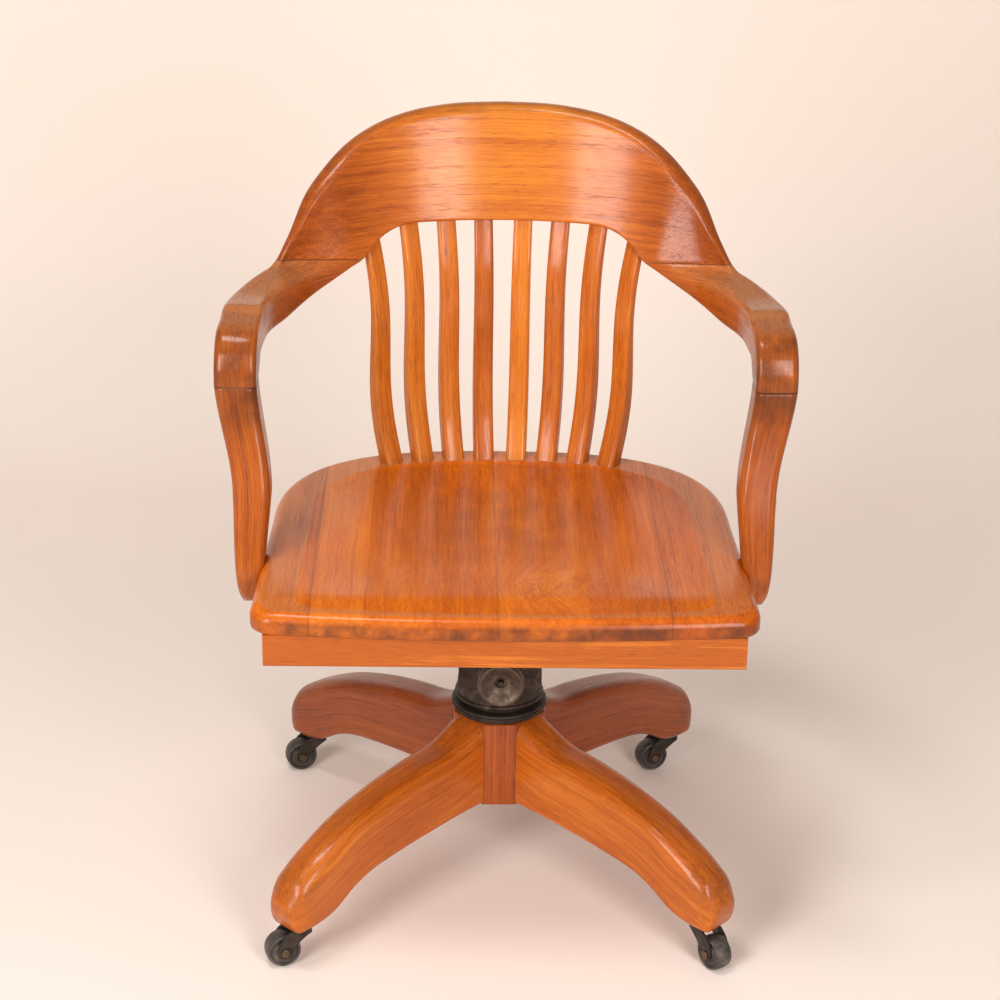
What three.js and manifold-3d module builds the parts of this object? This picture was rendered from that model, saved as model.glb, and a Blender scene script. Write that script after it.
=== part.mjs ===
// A bankers swivel chair in oak on a cast iron swivel and tilt mechanism with four casters.
// Millimetres, +Z up. The origin is on the floor on the swivel axis and the chair faces -Y.
import * as THREE from "three";
import { mergeVertices } from "three/addons/utils/BufferGeometryUtils.js";
import Module from "manifold-3d";

const wasm = await Module();
wasm.setup();

// Clearances and overruns
const gap = 0.3; // between pieces that touch
const runGap = 0.4; // round a piece that turns or slides
const overrun = 5; // how far a cutting tool runs past its work

// Seat board
const seatTop = 433;
const seatThickness = 29;
const seatHalfWidth = 263.7; // at the front corners
const seatSideDraw = 7.1; // how far the sides draw in to the swivel axis
const seatFront = 262; // from the swivel axis to the nosing
const seatRear = 217.5;
const seatCornerRadius = 24;
const seatBow = 11; // how far the front edge bows out
const seatNosing = 13; // depth of the rounded edge
const seatDish = 10;
const seatPommel = 3.5; // ridge between the thighs
const dishSideMargin = 44.5; // flat border beside the scooped part
const dishRearMargin = 44.5;
const dishFrontMargin = 16;
const seatRoll = 4; // how far the top rolls down to the front edge
const seatRollRun = 58; // depth of the part that rolls down
const seatRoundness = 2.75; // power of the superellipse of the rear edge
const seatPostHalfWidth = seatHalfWidth - seatSideDraw / 2; // between the arm posts

// Apron frame under the seat
const apronHeight = 37;
const apronThickness = 22;
const apronInset = 13.7; // from the widest part of the seat
const apronTaper = 45; // how far the side rails draw in rearward
const apronSetback = 5; // from the straight part of the seat front
const apronRearSetback = 107.5; // from the seat's rear edge to the rear rail
const apronEdge = 5;
const apronHalfWidth = seatHalfWidth - apronInset;
const apronRearHalfWidth = apronHalfWidth - apronTaper;
const apronRear = seatRear - apronRearSetback;

// Horseshoe that the crest rail and the arms share in plan
const armSpread = 17.8; // from the seat's corners out to the middle of the arm
const bowInset = 9.5; // from the seat's rear edge in to the middle of the joint
const bowHalfWidth = seatHalfWidth + armSpread;
const bowCentre = -18; // where the arms start to run straight forward
const bowDepth = seatRear - bowInset - bowCentre;
const jointHeight = 687; // glue plane between crest and arms
const crestThickness = 27;
const crestRise = 160.5; // from the glue plane to the top
const crestStep = 32; // from the glue plane to the lower edge in the middle
const crestLean = 0.233; // rearward shift for each unit of height
const crestTopRadius = 9;
const crestLowRadius = 4;
const crestEndAngle = 62; // degrees round the horseshoe from the middle of the back
const crestFootAngle = 35.2;
const crestShoulderAngle = 20;
const crestTop = jointHeight + crestRise;
const crestLow = jointHeight + crestStep;
const crestTopShares = [
  [0, 1],
  [0.2, 0.985],
  [0.33, 0.946],
  [0.45, 0.876],
  [0.56, 0.772],
  [0.66, 0.636],
  [0.76, 0.469],
  [0.86, 0.237],
  [0.94, 0.11],
  [1, 0.03],
];

// Arms
const armDrop = 7; // from the glue plane down to the top at the elbow
const armRise = 9; // how much higher the arm is where its straight run starts
const armDepth = 37;
const armWidth = 44.5;
const armEdge = 8;
const armFlatAngle = 72; // where the underside reaches its level run
const armTop = jointHeight - armDrop;
const armLow = armTop - armDepth;
const elbowFront = 101;
const elbowSplay = 4; // how far the arm spreads out to its elbow
const elbowHalfSpan = bowHalfWidth + elbowSplay;
const elbowStep = 12; // from the arm's underside down to the post
const elbowJoint = armLow - elbowStep;
const elbowRun = 41; // length of the rounded knuckle
const elbowFillet = 14;

// Arm posts
const postTopWidth = 44.9;
const postTopDepth = 46;
const postWaistWidth = 39.8;
const postWaistOut = 9; // from the seat's side out to the middle of the waist
const postWaistShare = 0.354; // its height, as a share of the way from the seat to the elbow
const postDrop = 48; // below the seat's top
const postFootFront = 140;
const postFootDepth = 44;
const postFootWidth = 26.3;
const postFootRound = 39; // length of the rounded lower end
const postHousing = 2; // how deep the seat edge is let into the post
const postEdge = 8;
const postWaistHeight = seatTop + postWaistShare * (elbowJoint - seatTop);
const postLow = seatTop - postDrop;

// Back slats
const slatHalfCount = 4;
const slatFootSpan = 125.5; // middle of the outermost slat at the seat
const slatHeadSpan = 150.7;
const slatInnerShare = 0.151; // place of the innermost slat in each half
const slatSetback = 31.3; // from the seat's rear edge to the middle slats
const slatFootBack = seatRear - slatSetback;
const slatFootCurve = 19; // how much further forward the outermost slat stands
const slatWidth = 23.8;
const slatHeadWidth = 21.2;
const slatFootThickness = 22;
const slatHeadThickness = 10;
const slatBend = 8.4;
const slatTurn = 40; // degrees that the outermost slat faces the middle
const slatTenon = 11;
const slatEdge = 2.5;

// Hub post and legs
const hubLow = 97;
const hubTop = 200;
const hubHalf = 53; // swivel axis to its front face
const hubWall = 30; // from the bore to the front face
const baseTurn = 0.85; // degrees that the hub stands turned on the floor
const legWidth = 49;
const legEdge = 12;
const footReach = 312.5; // swivel axis to a caster stem
const footOverhang = 29.5; // leg tip beyond the caster stem
const footHeight = 49.5; // underside of the foot
const footRoundShare = 0.132; // part of the leg that is rounded in plan
const legTopShares = [
  [0, 0.99],
  [0.06, 0.935],
  [0.126, 0.878],
  [0.295, 0.833],
  [0.516, 0.752],
  [0.765, 0.591],
  [0.905, 0.444],
  [0.965, 0.351],
  [1, 0.21],
];
const legLowShares = [
  [0, 1],
  [0.133, 0.985],
  [0.288, 0.922],
  [0.467, 0.826],
  [0.63, 0.657],
  [0.709, 0.453],
  [0.79, 0.125],
  [0.86, 0.03],
  [0.93, 0],
  [0.975, 0.09],
  [1, 0.6],
];
const legStepShares = [0, 0.06, 0.13, 0.28, 0.47, 0.62, 0.71, 0.79, 0.86, 0.93, 0.97, 0.995];

// Casters
const wheelRadius = 19.5;
const wheelWidth = 20;
const wheelHubRadius = 8;
const wheelDish = 3;
const wheelRim = 4;
const casterTrail = 20.5; // caster stem to wheel axle
const axleRadius = 3;
const axleHead = 1.5;
const axleHeadRadius = 5;
const forkThickness = 2.6;
const forkHead = 4;
const forkHeadRadius = 13.6;
const forkEyeRadius = 8;
const stemRadius = 4.2;
const stemLength = 34;
const socketFlange = 2.5;
const socketFlangeRadius = 17;
const socketWall = 3;
const socketDepth = 40;
const casterHeadings = { front_left: 200, front_right: 303, rear_left: 196, rear_right: 201 };

// Hub socket, height nut and spindle
const hubPlate = 4;
const hubPlateInset = 1.5;
const hubTubeWall = 3;
const hubTubeLength = 84;
const nutRadius = 54.7;
const nutRim = 7;
const nutBoss = 3;
const nutBossRadius = 43;
const nutSleeveLength = 66;
const spindleRadius = 12.5;
const spindleLength = 132;
const spindleGrip = 23; // length of spindle held in the yoke
const lockPinRadius = 3;

// Tilt housing, a cast yoke with a spring barrel
const bellRadius = 51;
const bellHeight = 30;
const bellShoulder = 5;
const bellRound = 4;
const cheekOuter = 47;
const cheekThickness = 13;
const cheekHalfDepth = 24;
const blockDepth = 38;
const barrelFloor = 9; // metal between the spindle and the barrel's bore
const barrelBore = 20;
const barrelWall = 7;
const barrelLength = 74;
const barrelEnd = 5; // rear wall of the barrel
const pinRadius = 7;
const pinHeadRadius = 10;
const pinHead = 4;

// Spring, its adjuster and the plunger
const tiltRange = 18; // degrees
const knobRadius = 26;
const knobDepth = 13;
const knobDish = 8;
const knobRim = 4;
const knobHole = 6;
const knobEdge = 1.5;
const rodRadius = 3.8;
const rodTip = 4; // how far the rod shows beyond the floor of the knob's dish
const cupThickness = 4;
const cupPlace = 12; // from the knob's back to the cup
const flangeThickness = 4;
const plungerRadius = 7;
const buttonRadius = 12;
const buttonThickness = 4;
const buttonRoom = 5; // left behind the barrel when the seat is tilted right back
const springRadius = 14;
const springWire = 1.7;
const springTurns = 5.5;

// Seat irons and tilt lever
const ironThickness = 8;
const ironSetback = 44; // from the front rail
const ironRoom = 10; // from the rear rail
const ironPadLength = 42;
const ironPadWidth = 30;
const ironPad = 7;
const ironEar = 17;
const leverHubRadius = 15;
const leverHeadroom = 20; // between the barrel and the lever's hub
const leverPlateHalf = 34;
const leverPlate = 7;
const leverWeb = 16;
const leverTip = 8;
const leverWidth = 20;

// Post screws
const screwRadius = 2.5;
const screwLength = 46;
const screwHead = 2.4;
const screwHeadRadius = 5;
const screwSpacing = 17;

// Numbers of facets
const roundSides = 24;
const smallSides = 12;
const wheelSides = 16;
const seatSteps = 48;
const crestSteps = 30;
const slatSteps = 9;
const springSteps = 8; // for each turn
const springSides = 5;

// Heights that follow from the sizes
const seatUnder = seatTop - seatThickness;
const nutLow = hubTop + hubPlate + gap;
const nutTop = nutLow + nutRim + nutBoss;
const bellLow = nutTop + gap;
const bellTop = bellLow + bellHeight;
const spindleTop = bellLow + spindleGrip;
const barrelHeight = spindleTop + barrelFloor + barrelBore;
const barrelRadius = barrelBore + barrelWall;
const leverDrop = barrelRadius + leverHeadroom + leverHubRadius;
const pivotHeight = barrelHeight + leverDrop;

const degrees = Math.PI / 180;
const vector = (x, y, z) => new THREE.Vector3(x, y, z);
const mix = (from, to, share) => from + (to - from) * share;
const clamp = (value, low, high) => Math.min(high, Math.max(low, value));
const portion = (value, from, to) => clamp((value - from) / (to - from), 0, 1);
const ease = (share) => share * share * (3 - 2 * share);

// Colours and finishes
function finish(color, roughness, metalness) {
  return new THREE.MeshStandardMaterial({ color, roughness, metalness });
}
const oak = finish(0xa9551c, 0.35, 0);
const paleOak = finish(0xb8691f, 0.35, 0);
const castIron = finish(0x4a423c, 0.5, 0.8);
const blackIron = finish(0x22211f, 0.55, 0.7);
const steel = finish(0x8d8a84, 0.35, 0.9);
const darkRubber = finish(0x2a2825, 0.6, 0.1);
const brass = finish(0x9a7a45, 0.4, 0.9);

// Solids: joining and cutting
function solid(geometry) {
  const flat = geometry.index ? geometry.toNonIndexed() : geometry;
  const bare = new THREE.BufferGeometry();
  bare.setAttribute("position", flat.getAttribute("position").clone());
  const merged = mergeVertices(bare);
  return new wasm.Manifold(
    new wasm.Mesh({
      numProp: 3,
      vertProperties: merged.attributes.position.array,
      triVerts: new Uint32Array(merged.index.array),
    }),
  );
}

function geometryOf(made) {
  const mesh = made.getMesh();
  const geometry = new THREE.BufferGeometry();
  geometry.setAttribute("position", new THREE.BufferAttribute(mesh.vertProperties, 3));
  geometry.setIndex(new THREE.BufferAttribute(mesh.triVerts, 1));
  geometry.computeVertexNormals();
  return geometry;
}

const join = (first, ...others) =>
  geometryOf(others.reduce((sum, one) => sum.add(solid(one)), solid(first)));
const cut = (first, ...tools) =>
  geometryOf(tools.reduce((left, one) => left.subtract(solid(one)), solid(first)));

// An indexed surface, turned so that its faces point out
function surface(points, faces) {
  let volume = 0;
  for (let i = 0; i < faces.length; i += 3) {
    const [a, b, c] = [points[faces[i]], points[faces[i + 1]], points[faces[i + 2]]];
    volume += a.dot(b.clone().cross(c));
  }
  const geometry = new THREE.BufferGeometry().setFromPoints(points);
  geometry.setIndex(volume < 0 ? [...faces].reverse() : faces);
  geometry.computeVertexNormals();
  return geometry;
}

// A closed surface over equal rings of points, capped at both ends
function loft(rings) {
  const count = rings[0].length;
  const points = rings.flat();
  const faces = [];
  for (let i = 0; i + 1 < rings.length; i++) {
    for (let j = 0; j < count; j++) {
      const a = i * count + j;
      const b = i * count + ((j + 1) % count);
      faces.push(a, b, b + count, a, b + count, a + count);
    }
  }
  for (const [ring, start, isFirst] of [
    [rings[0], 0, true],
    [rings.at(-1), (rings.length - 1) * count, false],
  ]) {
    const middle = points.length;
    points.push(ring.reduce((sum, p) => sum.add(p), vector(0, 0, 0)).divideScalar(count));
    for (let j = 0; j < count; j++) {
      const here = start + j;
      const next = start + ((j + 1) % count);
      faces.push(...(isFirst ? [middle, next, here] : [middle, here, next]));
    }
  }
  return surface(points, faces);
}

// One ring of a plank: a rectangle that stands from low to high, with rounded corners
function plankRing({ low, high, side, width, lowEdge, highEdge }, cornerSteps) {
  const height = high.distanceTo(low);
  const up = high.clone().sub(low).divideScalar(height);
  const most = 0.49 * Math.min(width, height);
  const ring = [];
  for (const [acrossSign, isHigh, turn] of [
    [1, false, -90],
    [1, true, 0],
    [-1, true, 90],
    [-1, false, 180],
  ]) {
    const radius = Math.min(isHigh ? highEdge : lowEdge, most);
    const across = acrossSign * (width / 2 - radius);
    const rise = isHigh ? height - radius : radius;
    for (let k = 0; k < cornerSteps; k++) {
      const angle = (turn + (90 * k) / (cornerSteps - 1)) * degrees;
      ring.push(
        low
          .clone()
          .addScaledVector(side, across + radius * Math.cos(angle))
          .addScaledVector(up, rise + radius * Math.sin(angle)),
      );
    }
  }
  return ring;
}

const plank = (stations, cornerSteps = 3) =>
  loft(stations.map((station) => plankRing(station, cornerSteps)));

// The same plank on the other side of the chair
function mirrored(stations, side) {
  const flip = (p) => vector(p.x * side, p.y, p.z);
  return stations.map((one) => ({ ...one, low: flip(one.low), high: flip(one.high), side: flip(one.side) }));
}

// A smooth curve through shares of place and value
function through(shares) {
  const curve = new THREE.SplineCurve(shares.map(([place, value]) => new THREE.Vector2(place, value)));
  const points = curve.getPoints(shares.length * 12);
  return (place) => {
    const after = points.findIndex((p) => p.x >= place);
    const i = after < 0 ? points.length - 1 : Math.max(1, after);
    const [a, b] = [points[i - 1], points[i]];
    return mix(a.y, b.y, (place - a.x) / (b.x - a.x));
  };
}

// Turned pieces, from a profile of radius and height that closes on the axis or on itself
function turned(profile, facets) {
  const points = profile.map(([radius, height]) => new THREE.Vector2(radius, height));
  const lathe = new THREE.LatheGeometry(points, facets).rotateX(90 * degrees);
  const made = solid(lathe);
  if (made.volume() > 0) {
    return geometryOf(made);
  }
  return turned([...profile].reverse(), facets);
}

const rod = (radius, from, to, facets) =>
  turned(
    [
      [0, from],
      [radius, from],
      [radius, to],
      [0, to],
    ],
    facets,
  );

function box(x0, x1, y0, y1, z0, z1) {
  const geometry = new THREE.BoxGeometry(x1 - x0, y1 - y0, z1 - z0);
  return geometry.translate((x0 + x1) / 2, (y0 + y1) / 2, (z0 + z1) / 2);
}

// A plate drawn in Y and Z, from x0 to x1
function sidePlate(shape, x0, x1) {
  const options = { depth: x1 - x0, bevelEnabled: false, curveSegments: 5 };
  const turn = new THREE.Matrix4().set(0, 0, 1, x0, 1, 0, 0, 0, 0, 1, 0, 0, 0, 0, 0, 1);
  return new THREE.ExtrudeGeometry(shape, options).applyMatrix4(turn);
}

// A piece made along Z, laid along X, along Y, or forward along -Y
const alongX = (geometry) => geometry.rotateY(90 * degrees);
const alongY = (geometry) => geometry.rotateX(-90 * degrees);
const forward = (geometry) => geometry.rotateX(90 * degrees);

const chair = new THREE.Group();

function add(name, geometry, material, group = chair) {
  const mesh = new THREE.Mesh(geometry, material);
  mesh.name = name;
  group.add(mesh);
}

const sides = [
  ["left", -1],
  ["right", 1],
];
const corners = [
  ["front_left", 225 + baseTurn],
  ["front_right", 315 + baseTurn],
  ["rear_left", 135 + baseTurn],
  ["rear_right", 45 + baseTurn],
];

// Seat outline: a superellipse behind, rounded front corners and a bowed front edge
function seatOutline(side, rear, front) {
  const halfWidth = seatHalfWidth - seatSideDraw - side;
  const depth = seatRear - rear;
  const power = 2 / seatRoundness;
  const rearSteps = seatSteps / 2;
  const outline = [];
  for (let i = 0; i <= rearSteps; i++) {
    const angle = (180 * i * degrees) / rearSteps;
    const across = Math.sign(Math.cos(angle)) * Math.abs(Math.cos(angle)) ** power;
    outline.push([halfWidth * across, depth * Math.abs(Math.sin(angle)) ** power]);
  }
  const radius = seatCornerRadius;
  const cornerX = seatHalfWidth - side - radius;
  const straight = -(seatFront - seatBow - front);
  const quarter = seatSteps / 8;
  const corner = [];
  for (let i = 0; i <= quarter; i++) {
    const angle = (180 + (90 * i) / quarter) * degrees;
    corner.push([-cornerX + radius * Math.cos(angle), straight + radius + radius * Math.sin(angle)]);
  }
  const edge = [];
  for (let i = 1; i < quarter; i++) {
    const x = mix(-cornerX, cornerX, i / quarter);
    edge.push([x, straight - seatBow * (1 - (x / cornerX) ** 2)]);
  }
  return [...outline, ...corner, ...edge, ...corner.map(([x, y]) => [-x, y]).reverse()];
}

// Height of the top, where share runs from 0 in the middle to 1 at the crease round the scooped part
function seatHeight(x, y, share) {
  const open = ease(portion(-y, seatFront / 3, seatFront));
  const hollow = seatDish * (1 - share ** 2.4) * (1 - open);
  const ridge = seatPommel * Math.exp(-((x / (seatHalfWidth / 8)) ** 2)) * (1 - share);
  const roll = seatRoll * ease(portion(-y, seatFront - seatRollRun, seatFront - seatNosing));
  return seatTop - hollow - roll + ridge * portion(-y, 0, seatFront) * (1 - open);
}

// The seat board, or with grow the space that it takes with a clearance round it
function seatGeometry(grow) {
  const edge = seatOutline(-grow, -grow, -grow);
  const rim = seatOutline(seatNosing, seatNosing, seatNosing);
  const crease = seatOutline(dishSideMargin, dishRearMargin, dishFrontMargin);
  const rings = [0.02, 0.3, 0.6, 0.85, 1].map((share) =>
    crease.map(([x, y]) => vector(x * share, y * share, seatHeight(x * share, y * share, share) + grow)),
  );
  for (const angle of [90, 45, 0, -60]) {
    const out = Math.cos(angle * degrees);
    const rise = (1 + Math.sin(angle * degrees)) / 2;
    rings.push(
      rim.map(([x, y], i) => {
        const height = mix(seatUnder - grow, seatHeight(x, y, 1) + grow, rise);
        return vector(mix(x, edge[i][0], out), mix(y, edge[i][1], out), height);
      }),
    );
  }
  rings.push(rim.map(([x, y]) => vector(x, y, seatUnder - grow)));
  rings.push(rim.map(([x, y]) => vector(x / 3, y / 3, seatUnder - grow)));
  return loft(rings);
}

// A place on the middle line of the horseshoe and its outward direction
function bowPlace(angle) {
  const [s, c] = [Math.sin(angle * degrees), Math.cos(angle * degrees)];
  return {
    middle: vector(bowHalfWidth * s, bowCentre + bowDepth * c, 0),
    outward: vector(s / bowHalfWidth, c / bowDepth, 0).normalize(),
  };
}

// The same place in the leaning crest rail, at a height
function crestPlace(angle, height) {
  const { middle, outward } = bowPlace(angle);
  return middle.addScaledVector(outward, crestLean * (height - jointHeight)).setZ(height);
}

const crestTopCurve = through(crestTopShares);

function crestLowEdge(angle) {
  const share = portion(Math.abs(angle), crestShoulderAngle, crestFootAngle);
  return mix(crestLow, jointHeight + gap, share ** 2.4);
}

function crestGeometry() {
  const stations = [];
  for (let i = 0; i <= crestSteps; i++) {
    const angle = mix(-crestEndAngle, crestEndAngle, i / crestSteps);
    const share = Math.abs(angle) / crestEndAngle;
    const top = mix(jointHeight, crestTop, crestTopCurve(share));
    stations.push({
      low: crestPlace(angle, crestLowEdge(angle)),
      high: crestPlace(angle, top),
      side: bowPlace(angle).outward,
      width: crestThickness,
      lowEdge: Math.abs(angle) < crestFootAngle ? crestLowRadius : gap,
      highEdge: crestTopRadius,
    });
  }
  return plank(stations);
}

// A slat, or with grow its mortises; place runs from -slatHalfCount to slatHalfCount without 0
function slatGeometry(place, grow) {
  const outer = (Math.abs(place) - 1) / (slatHalfCount - 1);
  const part = Math.sign(place) * mix(slatInnerShare, 1, outer);
  const footBack = slatFootBack - slatFootCurve * part * part;
  const foot = vector(slatFootSpan * part, footBack, seatTop - slatTenon - grow);
  const headAngle = Math.asin((slatHeadSpan * part) / bowHalfWidth) / degrees;
  const head = crestPlace(headAngle, crestLowEdge(headAngle) + slatTenon + grow);
  const turn = slatTurn * part * degrees;
  const back = vector(Math.sin(turn), Math.cos(turn), 0);
  const stations = [];
  for (let i = 0; i <= slatSteps; i++) {
    const share = i / slatSteps;
    const bend = slatBend * (Math.sin(2 * Math.PI * share) + Math.sin(Math.PI * share) / 3);
    const middle = foot.clone().lerp(head, share).addScaledVector(back, bend);
    const half = mix(slatFootThickness, slatHeadThickness, ease(share)) / 2 + grow;
    stations.push({
      low: middle.clone().addScaledVector(back, -half),
      high: middle.clone().addScaledVector(back, half),
      side: vector(Math.cos(turn), -Math.sin(turn), 0),
      width: mix(slatWidth, slatHeadWidth, share) + 2 * grow,
      lowEdge: slatEdge,
      highEdge: slatEdge,
    });
  }
  return plank(stations, 2);
}

// The arm runs round the horseshoe from under the crest, then forward and over the elbow
function armGeometry(side) {
  const shoulder = armTop + armRise;
  const stations = [];
  const bowSteps = 9;
  for (let i = 0; i <= bowSteps; i++) {
    const angle = mix(crestFootAngle + 1, 90, i / bowSteps);
    const { middle, outward } = bowPlace(angle);
    const level = portion(angle, crestFootAngle, armFlatAngle);
    const free = portion(angle, crestEndAngle, 90);
    const wide = ease(portion(angle, mix(crestFootAngle, crestEndAngle, 1 / 2), armFlatAngle));
    stations.push({
      low: middle.clone().setZ(mix(jointHeight - 2 * gap, armLow, 1 - (1 - level) ** 1.9)),
      high: middle.clone().setZ(mix(jointHeight, shoulder, ease(free))),
      side: outward,
      width: mix(crestThickness, armWidth, wide),
      lowEdge: mix(crestLowRadius, armEdge / 2, wide),
      highEdge: free > 0 ? mix(crestLowRadius, armEdge, free) : gap,
    });
  }
  const spanAt = (y) => mix(bowHalfWidth, elbowHalfSpan, portion(-y, -bowCentre, elbowFront));
  const innerEnd = -elbowFront + postTopDepth;
  const runEnd = innerEnd + elbowFillet;
  const straightSteps = 4;
  for (let i = 1; i <= straightSteps; i++) {
    const share = i / straightSteps;
    const y = mix(bowCentre, runEnd, share);
    stations.push({
      low: vector(spanAt(y), y, armLow),
      high: vector(spanAt(y), y, mix(shoulder, armTop, share)),
      side: vector(1, 0, 0),
      width: mix(armWidth, postTopWidth, share),
      lowEdge: armEdge / 2,
      highEdge: armEdge,
    });
  }
  const bendSteps = 6;
  for (let i = 0; i <= bendSteps; i++) {
    const turn = (90 * i * degrees) / bendSteps;
    const outerY = -elbowFront + elbowRun * (1 - Math.sin(turn));
    const innerY = mix(runEnd, innerEnd, Math.sin(turn));
    stations.push({
      low: vector(spanAt(innerY), innerY, mix(elbowJoint, armLow, Math.cos(turn)) - (i ? 0 : gap / 3)),
      high: vector(spanAt(outerY), outerY, mix(elbowJoint, armTop, Math.cos(turn))),
      side: vector(1, 0, 0),
      width: postTopWidth,
      lowEdge: armEdge / 2,
      highEdge: armEdge,
    });
  }
  return plank(mirrored(stations, side));
}

// The post stands under the elbow, narrows at its waist and laps the side of the seat
function postGeometry(side) {
  const top = elbowJoint - gap;
  const seatSide = seatPostHalfWidth - postHousing;
  const stations = [];
  const steps = 14;
  for (let i = 0; i <= steps; i++) {
    const share = i / steps;
    const height = mix(top, postLow, share);
    const toWaist = ease(portion(-height, -top, -postWaistHeight));
    const toSeat = ease(portion(-height, -postWaistHeight, -seatTop));
    const toFoot = portion(-height, -postWaistHeight, -postLow);
    const waistSpan = mix(elbowHalfSpan, seatPostHalfWidth + postWaistOut, toWaist);
    const span = mix(waistSpan, seatSide + postFootWidth / 2, toSeat);
    const depth = mix(postTopDepth, postFootDepth, share);
    const centre = -mix(elbowFront, postFootFront, ease(share)) + depth / 2;
    const end = Math.sqrt(1 - 0.97 * portion(-height, -postLow - postFootRound, -postLow) ** 2);
    stations.push({
      low: vector(span, centre + (depth / 2) * end, height),
      high: vector(span, centre - (depth / 2) * end, height),
      side: vector(1, 0, 0),
      width: mix(mix(postTopWidth, postWaistWidth, toWaist), postFootWidth, toFoot) * mix(0.6, 1, end),
      lowEdge: postEdge,
      highEdge: postEdge,
    });
  }
  return plank(mirrored(stations, side));
}

// A screw through a post into the edge of the seat, or with grow its countersunk hole
function postScrew(side, index, grow) {
  const face = seatPostHalfWidth - postHousing + postFootWidth;
  const seat = face - screwHead - 2 * gap;
  const shank = rod(screwRadius + grow, seat - screwLength - grow, seat + screwHead / 2, smallSides);
  const head = rod(screwHeadRadius + grow, seat - grow, grow ? face + overrun : seat + screwHead, smallSides);
  const screw = alongX(join(shank, head));
  if (side < 0) {
    screw.rotateZ(180 * degrees);
  }
  const middle = -postFootFront + postFootDepth / 2;
  return screw.translate(0, middle + (index - 1 / 2) * screwSpacing, seatUnder + seatThickness / 2);
}

// A straight rail between two places in plan, or with grow the space round it
function railGeometry(from, to, grow = 0) {
  const along = to.clone().sub(from).normalize();
  const ends = [from, to];
  const stations = ends.map((end) => ({
    low: end.clone().setZ(seatUnder - gap - apronHeight - grow),
    high: end.clone().setZ(seatUnder - gap + grow),
    side: vector(-along.y, along.x, 0),
    width: apronThickness + 2 * grow,
    lowEdge: apronEdge,
    highEdge: gap,
  }));
  return plank(stations);
}

// Apron: a front rail, two side rails that draw in rearward, and a rear rail between them
function addApron() {
  const half = apronThickness / 2;
  const frontY = -(seatFront - seatBow) + apronSetback + half;
  const rearEnd = apronRear + apronThickness;
  const frontEnds = [vector(-apronHalfWidth, frontY, 0), vector(apronHalfWidth, frontY, 0)];
  const frontSpace = railGeometry(...frontEnds, gap);
  add("apron_front", railGeometry(...frontEnds), paleOak);
  const sideEnds = (side) => [
    vector(side * (apronHalfWidth - half), frontY, 0),
    vector(side * (apronRearHalfWidth - half), rearEnd, 0),
  ];
  for (const [name, side] of sides) {
    add("apron_" + name, cut(railGeometry(...sideEnds(side)), frontSpace), oak);
  }
  const reach = apronRearHalfWidth - half;
  const rear = railGeometry(vector(-reach, apronRear + half, 0), vector(reach, apronRear + half, 0));
  const sideSpaces = sides.map(([, side]) => railGeometry(...sideEnds(side), gap));
  add("apron_rear", cut(rear, ...sideSpaces), oak);
}

function addSeatAndBack() {
  const slatPlaces = [];
  for (let i = slatHalfCount; i > 0; i--) {
    slatPlaces.unshift(i);
    slatPlaces.push(-i);
  }
  slatPlaces.sort((a, b) => a - b);
  const mortises = slatPlaces.map((place) => slatGeometry(place, gap));
  const screwHoles = sides.flatMap(([, side]) => [postScrew(side, 0, gap), postScrew(side, 1, gap)]);
  add("seat_board", cut(seatGeometry(0), ...mortises, ...screwHoles), oak);
  add("crest_rail", cut(crestGeometry(), ...mortises), oak);
  slatPlaces.forEach((place, i) => add("slat_" + (i + 1), slatGeometry(place, 0), oak));
  for (const [name, side] of sides) {
    add("arm_" + name, armGeometry(side), oak);
    add("arm_post_" + name, cut(postGeometry(side), seatGeometry(gap), ...screwHoles), oak);
    add("post_screw_" + name + "_front", postScrew(side, 0, 0), steel);
    add("post_screw_" + name + "_rear", postScrew(side, 1, 0), steel);
  }
  addApron();
}

// Hub post, an eight-sided block with a leg against each diagonal face
const hubBore = hubHalf - hubWall;
const hubCorner = hubHalf - legWidth / Math.SQRT2;
const legStart = (hubHalf + hubCorner) / Math.SQRT2 + gap;
const legTip = footReach + footOverhang;

function hubGeometry() {
  const outline = [];
  for (let i = 0; i < 4; i++) {
    const [s, c] = [Math.round(Math.sin(i * 90 * degrees)), Math.round(Math.cos(i * 90 * degrees))];
    for (const corner of [-hubCorner, hubCorner]) {
      outline.push(new THREE.Vector2(hubHalf * c - corner * s, hubHalf * s + corner * c));
    }
  }
  const options = { depth: hubTop - hubLow, bevelEnabled: false };
  const block = new THREE.ExtrudeGeometry(new THREE.Shape(outline), options).translate(0, 0, hubLow);
  return cut(block, rod(hubBore, hubLow - overrun, hubTop + overrun, roundSides)).rotateZ(baseTurn * degrees);
}

const legTopCurve = through(legTopShares);
const legLowCurve = through(legLowShares);

// A leg that runs out along +X from the hub to its rounded foot
function legGeometry() {
  const stations = [];
  for (const share of legStepShares) {
    const reach = mix(legStart, legTip, share);
    const end = Math.sqrt(1 - portion(share, 1 - footRoundShare, 1) ** 2);
    stations.push({
      low: vector(reach, 0, mix(footHeight, hubLow, legLowCurve(share))),
      high: vector(reach, 0, mix(footHeight, hubTop, legTopCurve(share))),
      side: vector(0, 1, 0),
      width: legWidth * mix(0.5, 1, end),
      lowEdge: legEdge / 2,
      highEdge: legEdge,
    });
  }
  return plank(stations);
}

// Caster parts. The socket and the fork stand on the stem's axis and the wheel trails along +X.
const socketRadius = stemRadius + runGap + socketWall;
const forkTop = footHeight - gap - socketFlange - gap;
const forkInner = wheelWidth / 2 + runGap;
const forkOuter = forkInner + forkThickness;

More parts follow.
